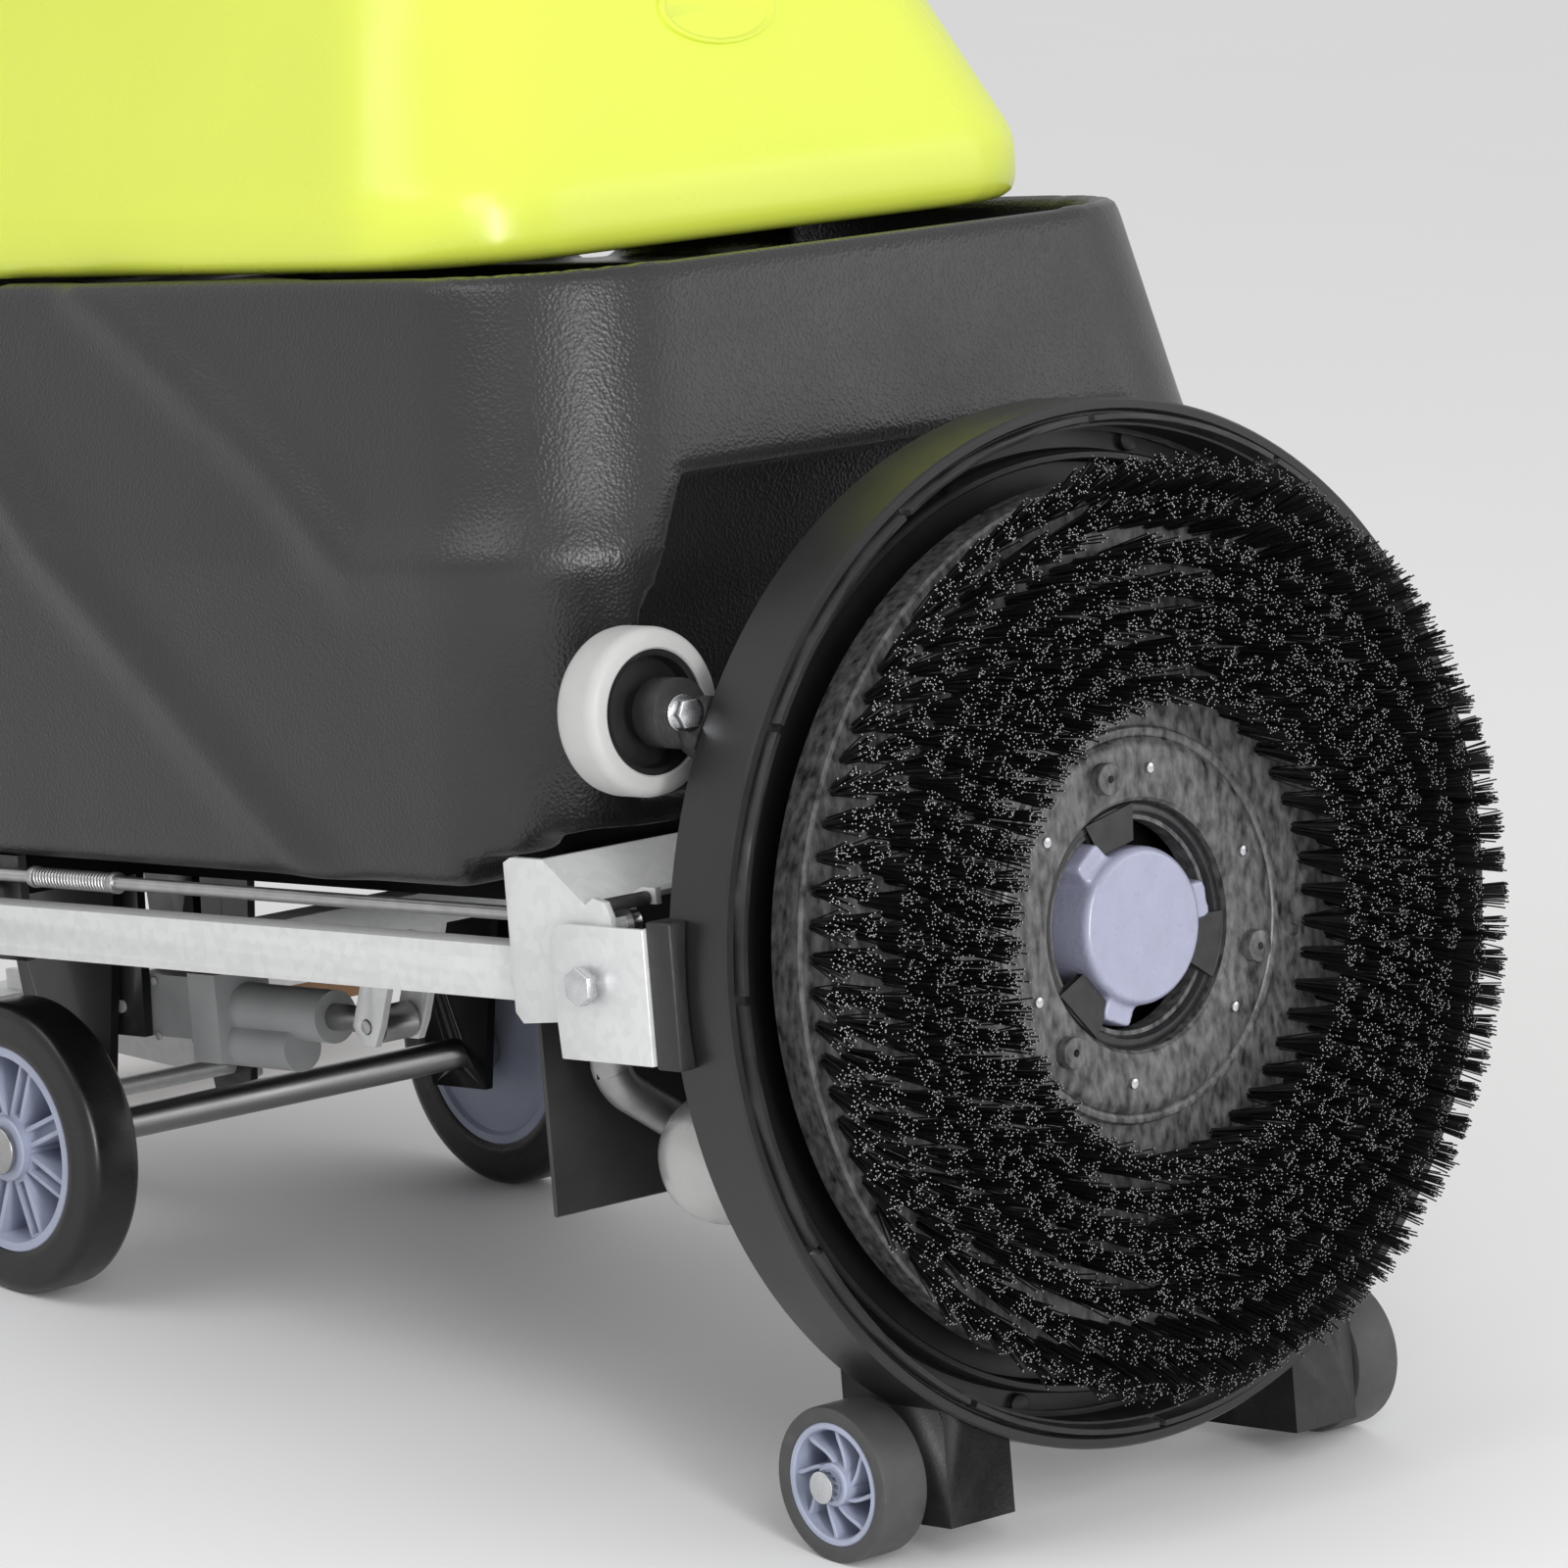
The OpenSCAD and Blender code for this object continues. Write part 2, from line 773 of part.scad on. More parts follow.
module roller_bolt() level() color("silver")
    at_roller() {
        bar_y(4.99, deck_back_y, roller_front_y + roller_w + 9);
        bar_y(8.5, deck_back_y - 0.5, deck_back_y + 7.99, 6);
        bar_y(8, roller_front_y + roller_w + gap, roller_front_y + roller_w + 8, 6);
    }

module roller_tyre() level() color("whitesmoke")
    at_roller()
        difference() {
            bar_y(roller_r, roller_front_y, roller_front_y + roller_w, 96);
            bar_y(roller_r - 12, roller_front_y - 1, roller_front_y + roller_w + 1, 96);
        }

module roller_hub() level() color("black")
    at_roller()
        difference() {
            union() {
                bar_y(roller_r - 12.01, roller_front_y + 9, roller_front_y + roller_w - 9, 96);
                difference() {
                    bar_y(roller_r - 12.01, roller_front_y + 2, roller_front_y + roller_w - 2, 96);
                    bar_y(roller_r - 16, roller_front_y, roller_front_y + roller_w, 96);
                }
                bar_y(12, roller_front_y, roller_front_y + roller_w);
            }
            bar_y(5 + run, roller_front_y - 1, roller_front_y + roller_w + 1);
        }

/* ---- Brush ---- */

// Drive hub: round cast boss with three lugs
module drive_hub() level() color("#a8aac3")
    on_deck()
        difference() {
            union() {
                translate([0, 0, 14])
                    cylinder(h = 52, r = 44);
                for (a = [8, 128, 248])
                    rotate([0, 0, a])
                        translate([0, -12, 30])
                            cube([57, 24, 30]);
            }
            translate([0, 0, 10])
                cylinder(h = 24, r = 12.5 + run);
        }

// Clutch plate that the hub's lugs lock in
module clutch_plate() level() color("#202020")
    on_deck()
        translate([0, 0, block_front_w - 16])
            difference() {
                cylinder(h = 22, r = clutch_r, $fn = 96);
                translate([0, 0, -1])
                    cylinder(h = 30, r = 58.5, $fn = 96);
                translate([0, 0, 12])
                    cylinder(h = 30, r = clutch_hole_r, $fn = 96);
            }

// Brush block: moulded disc that carries the tufts
module brush_block() level() color("#555555")
    on_deck()
        translate([0, 0, block_front_w - block_w])
            difference() {
                cylinder(h = block_w, r = block_r, $fn = 128);
                translate([0, 0, 8.99])
                    cylinder(h = block_w, r = clutch_r + 0.01, $fn = 96);
                translate([0, 0, -1])
                    cylinder(h = 30, r = 72, $fn = 96);
            }

// Bright rivets on the clutch plate's face
module block_rivets() level() color("silver")
    on_deck()
        for (i = [0 : 5])
            rotate([0, 0, 60 * i + 20])
                translate([rivet_r, 0, block_front_w + 6.01])
                    cylinder(h = 2, r = 3);

// Bristle field as one plain ring; the tufts flare outwards at the rim
module bristles() level() color("black")
    on_deck()
        rotate_extrude($fn = 128)
            polygon([[tuft_inner_r + 4, block_front_w + 0.01], [block_r - 6, block_front_w + 0.01],
                     [brush_r - 10, tip_w - 12], [brush_r, tip_w - 4], [brush_r - 14, tip_w],
                     [tuft_inner_r, tip_w]]);

/* ---- Wheels ---- */

// Small wheel parts, drawn on the wheel's own axis along X and centred on its width
module small_tyre()
    difference() {
        bar_x(small_r, -small_w / 2, small_w / 2, 96);
        bar_x(small_r - 9, -small_w, small_w, 96);
    }

module small_hub()
    difference() {
        union() {
            bar_x(small_r - 9.01, -5, 5, 96);
            difference() {
                bar_x(small_r - 9.01, -small_w / 2 + 1, small_w / 2 - 1, 96);
                bar_x(small_r - 13, -small_w, small_w, 96);
            }
            bar_x(12, -small_w / 2, small_w / 2);
        }
        bar_x(small_axle_r + run, -small_w, small_w);
    }

module at_small(x)
    translate([x, small_y, small_z])
        children();

module small_tyre_right() level() color("#484848") at_small(-small_x) small_tyre();
module small_hub_right() level() color("#7d83a0") at_small(-small_x) small_hub();
module small_tyre_left() level() color("#484848") at_small(small_x) small_tyre();
module small_hub_left() level() color("#7d83a0") at_small(small_x) small_hub();

// Main wheel parts: rubber tyre and a spoked hub
hub_r = 64;
module main_tyre()
    difference() {
        bar_x(main_r, -main_w / 2, main_w / 2, 128);
        bar_x(hub_r, -main_w, main_w, 128);
    }

module main_hub()
    difference() {
        union() {
            difference() {
                bar_x(hub_r - 0.01, -main_w / 2 + 2, main_w / 2 - 2, 128);
                bar_x(hub_r - 7, -main_w, main_w, 128);
            }
            bar_x(hub_r - 6, -4, 4, 128);
            bar_x(20, -main_w / 2, main_w / 2);
            for (a = [0 : 45 : 315])
                rotate([a, 0, 0])
                    box([-14, -4, 18], [14, 4, hub_r - 6]);
        }
        bar_x(axle_r + run, -main_w, main_w);
    }

main_mid_x = main_out_x - main_w / 2;
module main_tyre_right() level() color("#181818") translate([-main_mid_x, 0, 0]) main_tyre();
module main_hub_right() level() color("#7d83a0") translate([-main_mid_x, 0, 0]) main_hub();
module main_tyre_left() level() color("#181818") translate([main_mid_x, 0, 0]) main_tyre();
module main_hub_left() level() color("#7d83a0") translate([main_mid_x, 0, 0]) main_hub();

/* ---- Recovery tank ---- */

// The tank leans in on every side as it rises
module dome(inset, low) {
    hull() {
        slice(240 - inset, -538 + inset, 180 - inset, 90, low);
        slice(244 - inset, -536 + inset, 184 - inset, 92, dome_low + 38);
    }
    hull() {
        slice(244 - inset, -536 + inset, 184 - inset, 92, dome_low + 38);
        slice(205 - inset, -500 + inset, 182 - inset, 90, dome_low + 132);
    }
    hull() {
        slice(205 - inset, -500 + inset, 182 - inset, 90, dome_low + 132);
        slice(150 - inset, -430 + inset, 172 - inset, 80, dome_z - 12 - inset);
        slice(138 - inset, -416 + inset, 160 - inset, 70, dome_z - inset);
    }
}

lid_y0 = -330;
lid_y1 = -60;
lid_half = 105;
module recovery_tank() level() color("#e6f564") {
    difference() {
        dome(0, dome_low);
        dome(wall, dome_low + wall);
        // Hand opening under the lid
        translate([0, (lid_y0 + lid_y1) / 2, dome_z - 60])
            linear_extrude(100)
                square([2 * lid_half - 30, lid_y1 - lid_y0 - 30], center = true);
        // Outlet bore to the drain hose
        translate([190, 0, 590])
            bar_y(15, 100, 220);
    }
    for (y = [-128, 112])
        difference() {
            union() {
                box([hinge_x - 40, y, hinge_z + 10], [hinge_x + 7, y + 20, hinge_z + 22]);
                box([hinge_x - 7, y, hinge_z - 7], [hinge_x + 7, y + 20, hinge_z + 12]);
            }
            dome(wall - 2, dome_low);
            translate([hinge_x, 0, hinge_z])
                bar_y(3.9, y - 1, y + 21);
        }
    // Hinge pins that run in the solution tank's lugs
    for (y = [-150, 90])
        translate([hinge_x, 0, hinge_z])
            bar_y(4, y, y + 30);
    translate([190, 0, 590])
        difference() {
            bar_y(18, 170, 204);
            bar_y(15, 100, 220);
        }
}

// Oval badge plate, left blank
module tank_badge() level() color("#e6f564")
    difference() {
        translate([0, -496, 668])
            rotate([68, 0, 0])
                translate([0, 0, -6])
                    scale([1, 0.52, 1])
                        cylinder(h = 14, r = 44);
        dome(0, dome_low);
    }

module recovery_lid() level() color("#2a2a2a")
    translate([0, (lid_y0 + lid_y1) / 2, dome_z + 1 + gap]) {
        linear_extrude(10)
            offset(r = 20, $fn = 32)
                square([2 * lid_half - 40, lid_y1 - lid_y0 - 40], center = true);
        translate([0, 0, -4])
            linear_extrude(4)
                square([2 * lid_half - 34, lid_y1 - lid_y0 - 34], center = true);
        translate([0, (lid_y1 - lid_y0) / 2 - 2, 6])
            bar_x(6, -60, 60);
    }

// Filler cap that pulls out of the trough's filler
module fill_cap() level() color("black")
    translate([0, -420, rim_z - 62]) {
        translate([0, 0, -20])
            cylinder(h = 21, r = 31.5);
        translate([0, 0, gap])
            cylinder(h = 12, r = 40);
        box([-26, -4, 12], [26, 4, 26]);
    }

/* ---- Hoses ---- */

suction_route = concat([[0, 372, 78]], bow([0, 372, 92], [0, 372, 190], [0, 430, 335], [0, 330, 335], 24),
    [[0, 314.02, 335]]);
module suction_hose() level() color("#2e2e33")
    sweep(suction_route, 19, [1, 0, 0]);

drain_route = concat(
    [[190, 204.02, 590]], bow([190, 214, 590], [190, 262, 590], [192, 250, 540], [192, 248, 470], 16),
    [for (i = [1 : 8]) [192, 248, 470 - 40 * i]]);
module drain_hose() level() color("#2e2e33")
    sweep(drain_route, 16, [1, 0, 0]);

/* ---- Squeegee ---- */

sq_low = -15;
module squeegee_frame() level() color("silver") {
    both_sides() {
        difference() {
            plate_x(68, 6)
                translate([sq_pivot_y, sq_pivot_z])
                    polygon([[-12, -8], [0, -14], [190, 2], [215, 33], [250, 33], [250, 47], [205, 47],
                             [0, 14], [-12, 8]]);
            translate([0, sq_pivot_y, sq_pivot_z])
                bar_x(6, 60, 80);
        }
    }
    translate([0, sq_pivot_y, sq_pivot_z])
        bar_x(6, -78, 78);
    difference() {
        box([-squeegee_w / 2, sq_y - 30, 22], [squeegee_w / 2, sq_y + 30, 34]);
        box([-squeegee_w, sq_y + 40, 0], [squeegee_w, sq_y + 90, 80]);
    }
    for (y = [sq_y - 26, sq_y + 20])
        box([-squeegee_w / 2 + 5, y, 2], [squeegee_w / 2 - 5, y + 6, 22]);
    difference() {
        translate([0, sq_y, 34])
            cylinder(h = 44 - 0.02, r = 19);
        translate([0, sq_y, 20])
            cylinder(h = 70, r = 16);
    }
}

module squeegee_blades() level() color("#7a4a2a")
    for (y = [sq_y - 19.99, sq_y + 15.99])
        box([-squeegee_w / 2 + 5, y, sq_low], [squeegee_w / 2 - 5, y + 4, 22 - 0.01]);

// Hand lever on the column's side that lifts the squeegee through a cable
sq_lever_at = [column_half - 4, 262, 420];
module squeegee_lever() level() color("firebrick")
    translate(sq_lever_at) {
        bar_x(12, 5, 18);
        plate_x(8, 7)
            polygon([[-9, 0], [9, 0], [22, 120], [8, 120]]);
        translate([0, 14, 118])
            bar_x(13, 4, 34);
    }

chassis_frame();
main_axle();
solution_tank();
batteries();
splash_flap();
rear_column();
control_panel();
handle_tube();
suction_hose();
charge_socket();
drain_spigot();
solenoid_valve();
vacuum_motor();
actuator_body();
actuator_rod();
lift_arms();
pivot_bolts();
upper_rods();
rod_springs();
carrier_frame();
latch_pin();
deck_housing();
splash_skirt();
deck_ears();
hinge_plates();
drive_motor();
gearbox();
pull_hoop();
wheel_brackets();
deck_axles();
roller_bracket();
roller_bolt();
drive_hub();
clutch_plate();
brush_block();
block_rivets();
bristles();
roller_tyre();
roller_hub();
small_tyre_right();
small_hub_right();
small_tyre_left();
small_hub_left();
main_tyre_right();
main_hub_right();
main_tyre_left();
main_hub_left();
recovery_tank();
tank_badge();
drain_hose();
recovery_lid();
squeegee_frame();
squeegee_blades();
squeegee_lever();
key_switch();
brush_button();
vacuum_button();
start_lever();
fill_cap();
drain_tap();
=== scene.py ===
import json
import math
import random

import bmesh
import bpy
from mathutils import Matrix, Vector


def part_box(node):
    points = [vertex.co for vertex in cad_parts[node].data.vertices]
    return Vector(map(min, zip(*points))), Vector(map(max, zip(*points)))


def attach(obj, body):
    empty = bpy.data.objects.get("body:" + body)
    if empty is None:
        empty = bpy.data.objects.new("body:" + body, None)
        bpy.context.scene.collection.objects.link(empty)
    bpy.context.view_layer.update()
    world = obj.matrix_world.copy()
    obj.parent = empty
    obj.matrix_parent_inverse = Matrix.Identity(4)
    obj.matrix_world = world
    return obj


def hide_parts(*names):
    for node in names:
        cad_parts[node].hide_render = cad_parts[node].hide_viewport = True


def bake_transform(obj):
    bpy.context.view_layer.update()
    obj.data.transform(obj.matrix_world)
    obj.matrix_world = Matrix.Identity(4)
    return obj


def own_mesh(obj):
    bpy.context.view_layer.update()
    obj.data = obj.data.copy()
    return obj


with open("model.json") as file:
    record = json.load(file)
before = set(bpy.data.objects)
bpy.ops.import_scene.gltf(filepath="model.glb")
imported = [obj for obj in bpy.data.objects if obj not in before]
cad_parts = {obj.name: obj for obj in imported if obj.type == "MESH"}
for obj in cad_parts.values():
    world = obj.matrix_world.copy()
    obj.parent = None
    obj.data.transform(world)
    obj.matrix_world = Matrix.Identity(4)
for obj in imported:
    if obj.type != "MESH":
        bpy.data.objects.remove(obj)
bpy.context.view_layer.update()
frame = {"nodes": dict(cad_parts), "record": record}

# ---- Camera ----
# A long lens looks at the flipped brush deck from the front right corner of the machine,
# a little from above. Its aim is the middle of the deck's back face.
axle_low, axle_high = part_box("main_axle")
axle = (axle_low + axle_high) / 2
PITCH = math.radians(7)
right = Vector((0.7431, -0.6691, 0.0))
up = Vector((0.1414, 0.1570, 0.9774))
back = right.cross(up)
deck_middle = axle + Matrix.Rotation(-PITCH, 3, "X") @ Vector((0, -0.776, 0.145))
camera = bpy.data.objects.new("camera", bpy.data.cameras.new("camera"))
camera.matrix_world = Matrix((right, up, back)).transposed().to_4x4()
camera.location = deck_middle - 0.1858 * right + 0.0772 * up + 4.450 * back
camera.data.sensor_width = 36
camera.data.lens = 185.4
camera.data.clip_end = 50
bpy.context.collection.objects.link(camera)
bpy.context.scene.camera = camera
bpy.context.scene.view_settings.view_transform = "Standard"

# ---- Studio ----
# A pale seamless floor and soft light: one broad key from the front right, a fill from the
# left and a long strip above that draws the shine on the tanks.
def studio_material(name, colour, rough):
    """A plain pale sheet with a faint unevenness, for the floor."""
    mat = bpy.data.materials.new(name)
    mat.use_nodes = True
    nodes, links = mat.node_tree.nodes, mat.node_tree.links
    shader = nodes["Principled BSDF"]
    shader.inputs["Roughness"].default_value = rough
    noise = nodes.new("ShaderNodeTexNoise")
    noise.inputs["Scale"].default_value = 3
    links.new(nodes.new("ShaderNodeTexCoord").outputs["Object"], noise.inputs["Vector"])
    ramp = nodes.new("ShaderNodeValToRGB")
    ramp.color_ramp.elements[0].color = (*[c * 0.98 for c in colour], 1)
    ramp.color_ramp.elements[1].color = (*colour, 1)
    links.new(noise.outputs["Fac"], ramp.inputs["Fac"])
    links.new(ramp.outputs["Color"], shader.inputs["Base Color"])
    return mat


floor_mesh = bpy.data.meshes.new("floor")
bm = bmesh.new()
bmesh.ops.create_grid(bm, x_segments=1, y_segments=1, size=12)
bm.to_mesh(floor_mesh)
bm.free()
floor = bpy.data.objects.new("floor", floor_mesh)
bpy.context.collection.objects.link(floor)
floor_mesh.materials.append(studio_material("floor_paper", (0.90, 0.90, 0.90), 0.7))

world = bpy.data.worlds.new("studio")
world.use_nodes = True
world.node_tree.nodes["Background"].inputs["Color"].default_value = (1.0, 1.0, 1.0, 1)
world.node_tree.nodes["Background"].inputs["Strength"].default_value = 0.74
bpy.context.scene.world = world


def soft_light(name, place, aim, size, power):
    """A rectangular soft box that points at a place."""
    data = bpy.data.lights.new(name, "AREA")
    data.shape = "RECTANGLE"
    data.size, data.size_y = size
    data.energy = power
    light = bpy.data.objects.new(name, data)
    light.location = place
    light.rotation_euler = (Vector(aim) - Vector(place)).to_track_quat("-Z", "Y").to_euler()
    bpy.context.collection.objects.link(light)


soft_light("key", (-1.9, -3.6, 2.4), (0, -0.3, 0.4), (1.2, 1.8), 36)
soft_light("corner", (-1.15, -3.3, 0.85), (-0.2, -0.45, 0.35), (0.5, 1.3), 42)
soft_light("fill", (2.6, -3.0, 1.5), (0, -0.4, 0.2), (2.4, 1.6), 16)
soft_light("strip", (-2.6, 0.4, 2.9), (0, -0.2, 0.4), (2.6, 1.0), 22)

# ---- Solution tank ----
# The lower tank is rotational-moulded polyethylene with a coarse pebbled skin and wide soft
# corners. It sits on the frame, and its front is hollowed for the brush deck.
STANCE = Matrix.Translation(axle) @ Matrix.Rotation(-PITCH, 4, "X") @ Matrix.Scale(0.001, 4)


def finish(name, colour, rough, metal=0.0, coat=0.0, tone=0.08, tone_size=90, grain="fine",
           grain_size=1.2, depth=0.1, stretch=(1, 1, 1), scuff=0.0):
    """A material whose colour, roughness and surface grain all vary. Sizes are in millimetres."""
    mat = bpy.data.materials.new(name)
    mat.use_nodes = True
    nodes, links = mat.node_tree.nodes, mat.node_tree.links
    shader = nodes["Principled BSDF"]
    shader.inputs["Metallic"].default_value = metal
    shader.inputs["Coat Weight"].default_value = coat
    shader.inputs["Coat Roughness"].default_value = 0.12
    at = nodes.new("ShaderNodeMapping")
    at.inputs["Scale"].default_value = stretch
    links.new(nodes.new("ShaderNodeTexCoord").outputs["Object"], at.inputs["Vector"])

    def noise(size, detail, roughness=0.55):
        node = nodes.new("ShaderNodeTexNoise")
        node.inputs["Scale"].default_value = 1000 / size
        node.inputs["Detail"].default_value = detail
        node.inputs["Roughness"].default_value = roughness
        links.new(at.outputs["Vector"], node.inputs["Vector"])
        return node.outputs["Fac"]

    def remap(value, low, high, to_low, to_high):
        node = nodes.new("ShaderNodeMapRange")
        node.inputs["From Min"].default_value = low
        node.inputs["From Max"].default_value = high
        node.inputs["To Min"].default_value = to_low
        node.inputs["To Max"].default_value = to_high
        links.new(value, node.inputs["Value"])
        return node.outputs["Result"]

    cloud = noise(tone_size, 5)
    if grain == "spangle":
        cells = nodes.new("ShaderNodeTexVoronoi")
        cells.inputs["Scale"].default_value = 1000 / tone_size
        links.new(at.outputs["Vector"], cells.inputs["Vector"])
        split = nodes.new("ShaderNodeSeparateColor")
        links.new(cells.outputs["Color"], split.inputs["Color"])
        cloud = split.outputs["Red"]
    ramp = nodes.new("ShaderNodeValToRGB")
    ramp.color_ramp.elements[0].position = 0.3
    ramp.color_ramp.elements[0].color = (*[c * (1 - tone) for c in colour], 1)
    ramp.color_ramp.elements[1].position = 0.7
    ramp.color_ramp.elements[1].color = (*[min(1, c * (1 + tone)) for c in colour], 1)
    links.new(cloud, ramp.inputs["Fac"])
    tint = ramp.outputs["Color"]
    dull = remap(noise(tone_size / 3, 4), 0.3, 0.7, rough * 0.86, min(1, rough * 1.14))
    if scuff:
        marks = remap(noise(14, 6, 0.7), 0.60, 0.72, 0, scuff)
        mix = nodes.new("ShaderNodeMix")
        mix.data_type = "RGBA"
        links.new(marks, mix.inputs["Factor"])
        links.new(tint, mix.inputs["A"])
        mix.inputs["B"].default_value = (*[min(1, c * 1.5 + 0.04) for c in colour], 1)
        tint = mix.outputs["Result"]
    links.new(tint, shader.inputs["Base Color"])
    links.new(dull, shader.inputs["Roughness"])
    if grain == "pebble":
        cells = nodes.new("ShaderNodeTexVoronoi")
        cells.feature = "SMOOTH_F1"
        cells.inputs["Smoothness"].default_value = 0.6
        cells.inputs["Scale"].default_value = 1000 / grain_size
        links.new(at.outputs["Vector"], cells.inputs["Vector"])
        relief = cells.outputs["Distance"]
    else:
        relief = noise(grain_size, 3)
    bump = nodes.new("ShaderNodeBump")
    bump.inputs["Strength"].default_value = 1.0
    bump.inputs["Distance"].default_value = depth / 1000
    links.new(relief, bump.inputs["Height"])
    links.new(bump.outputs["Normal"], shader.inputs["Normal"])
    return mat


def piece(name, bm, body, *materials, node=(), slot=None, smooth=35):
    """Sets a shape drawn in millimetres on the level machine into its place and body."""
    bm.transform(STANCE)
    mesh = bpy.data.meshes.new(name)
    bm.to_mesh(mesh)
    bm.free()
    for mat in materials:
        mesh.materials.append(mat)
    mesh.shade_smooth()
    mesh.set_sharp_from_angle(angle=math.radians(smooth))
    obj = bpy.data.objects.new(name, mesh)
    bpy.context.collection.objects.link(obj)
    if body:
        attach(obj, body)
    nodes = (node,) if isinstance(node, str) else node
    if nodes:
        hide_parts(*nodes)
    return obj


def loft(slices, segments=12):
    """A closed body through level slices: (half width, front, rear, corner radius, height)."""
    bm = bmesh.new()
    loops = []
    for half, front, rear, corner, z in slices:
        outline = ((-half, front), (half, front), (half, rear), (-half, rear))
        corners = [bm.verts.new((x, y, z)) for x, y in outline]
        bm.faces.new(corners)
        bmesh.ops.bevel(bm, geom=corners, offset=corner, offset_type="OFFSET", affect="VERTICES",
                        segments=segments, profile=0.5, material=-1)
        loops.append([e for e in bm.edges if all(abs(v.co.z - z) < 0.001 for v in e.verts)])
    inner = [f for f in bm.faces
             if slices[0][4] + 0.01 < f.calc_center_median().z < slices[-1][4] - 0.01]
    bmesh.ops.delete(bm, geom=inner, context="FACES_ONLY")
    for low, high in zip(loops, loops[1:]):
        bmesh.ops.bridge_loops(bm, edges=low + high)
    bmesh.ops.recalc_face_normals(bm, faces=bm.faces)
    return bm


def block(low, high, soft=0.0, segments=2):
    """A box between two corners, with its edges rounded."""
    low, high = Vector(low), Vector(high)
    bm = bmesh.new()
    size = high - low
    spot = Matrix.Translation((low + high) / 2) @ Matrix.Diagonal((*size, 1))
    bmesh.ops.create_cube(bm, size=1, matrix=spot)
    if soft:
        bmesh.ops.bevel(bm, geom=bm.edges[:], offset=soft, segments=segments, affect="EDGES",
                        profile=0.5, material=-1)
    return bm


def eased(bm, width, angle=30, segments=2):
    """Rounds every edge that is sharper than an angle."""
    sharp = [e for e in bm.edges
             if e.is_manifold and e.calc_face_angle() > math.radians(angle)]
    bmesh.ops.bevel(bm, geom=sharp, offset=width, segments=segments, affect="EDGES",
                    profile=0.5, material=-1, clamp_overlap=True)
    return bm


def rod(start, end, radius, sides=24, soft=0.0):
    """A round bar between two points, with its end edges rounded."""
    start, end = Vector(start), Vector(end)
    bm = bmesh.new()
    turn = (end - start).to_track_quat("Z", "Y").to_matrix().to_4x4()
    spot = Matrix.Translation((start + end) / 2) @ turn
    bmesh.ops.create_cone(bm, cap_ends=True, segments=sides, radius1=radius, radius2=radius,
                          depth=(end - start).length, matrix=spot)
    return eased(bm, soft, 50) if soft else bm


def through_modifier(bm, kind, **settings):
    """The shape that a modifier makes of a mesh."""
    mesh = bpy.data.meshes.new("scratch")
    bm.to_mesh(mesh)
    bm.free()
    obj = bpy.data.objects.new("scratch", mesh)
    bpy.context.collection.objects.link(obj)
    mod = obj.modifiers.new(kind, kind)
    for key, value in settings.items():
        setattr(mod, key, value)
    made = bmesh.new()
    made.from_object(obj, bpy.context.evaluated_depsgraph_get())
    bpy.data.objects.remove(obj)
    return made


def carved(bm, *cutters, operation="DIFFERENCE"):
    """A body with other shapes cut out of it or, as a union, added to it."""
    for cutter in cutters:
        mesh = bpy.data.meshes.new("cutter")
        cutter.to_mesh(mesh)
        cutter.free()
        tool = bpy.data.objects.new("cutter", mesh)
        bpy.context.collection.objects.link(tool)
        bm = through_modifier(bm, "BOOLEAN", operation=operation, object=tool, solver="EXACT")
        bpy.data.objects.remove(tool)
    return bm


def moulded(bm, voxel, rounds):
    """The same body with an even mesh and edges rounded as they come out of a mould."""
    bm = through_modifier(bm, "REMESH", mode="VOXEL", voxel_size=voxel)
    for _ in range(rounds):
        bmesh.ops.smooth_vert(bm, verts=bm.verts, factor=0.5, use_axis_x=True, use_axis_y=True,
                              use_axis_z=True)
    return bm


def fold(bm, side, route, depth, width):
    """Pushes a soft fold along a route in the side wall: (rear-front, height) points."""
    points = [Vector(p) for p in route]
    for vert in bm.verts:
        if vert.co.x * side < 200:
            continue
        spot = vert.co.yz
        near = width * 3
        for a, b in zip(points, points[1:]):
            along = b - a
            t = max(0, min(1, (spot - a).dot(along) / along.length_squared))
            near = min(near, (spot - a - along * t).length)
        vert.co.x += side * depth * math.exp(-(near / width) ** 2)


RIM = 530
TROUGH_FLOOR = RIM - 64
FINGER_NOTCH = RIM - 34
HINGE_AT = (-150, 90)
body = loft([(263, -604, 207, 90, 193), (271, -612, 215, 95, 201), (278, -641, 215, 100, 374),
             (250, -618, 215, 105, RIM)])
cutters = [
    block((-178, -240, 205), (178, 120, 600)),
    loft([(232, -602, -330, 90, RIM - 62), (236, -606, -330, 92, RIM + 5)]),
    block((-232, -335, RIM - 30), (232, 190, RIM + 20)),
    block((-300, -700, 100), (300, -573, 221)),
    block((-266, -598, 150), (266, -535, 211)),
    block((-221, -598, 150), (221, -499, 255)),
    loft([(204, -760, -560, 12, 240), (204, -760, -560, 12, 335), (168, -760, -575, 12, 412)]),
    block((225, -120, FINGER_NOTCH), (300, -60, RIM + 10)),
    block((-300, -120, FINGER_NOTCH), (-225, -60, RIM + 10)),
]
lugs = [block((230, y, RIM - 40), (276, y + 20, RIM + 1), 2) for y in HINGE_AT]
lip = block((-150, -599, 200), (150, -587.5, 226), 2)
tank = carved(carved(body, *cutters), lip, *lugs, operation="UNION")
trough_boss = rod((-60, -560, TROUGH_FLOOR), (-60, -560, RIM - 12), 17, 32, 3)
step = block((-200, -420, TROUGH_FLOOR), (-70, -344, RIM - 16), 12, 4)
tank = moulded(carved(tank, trough_boss, step, operation="UNION"), 5.0, 3)
FOLD_HEIGHT = 7
FOLD_WIDTH = 19
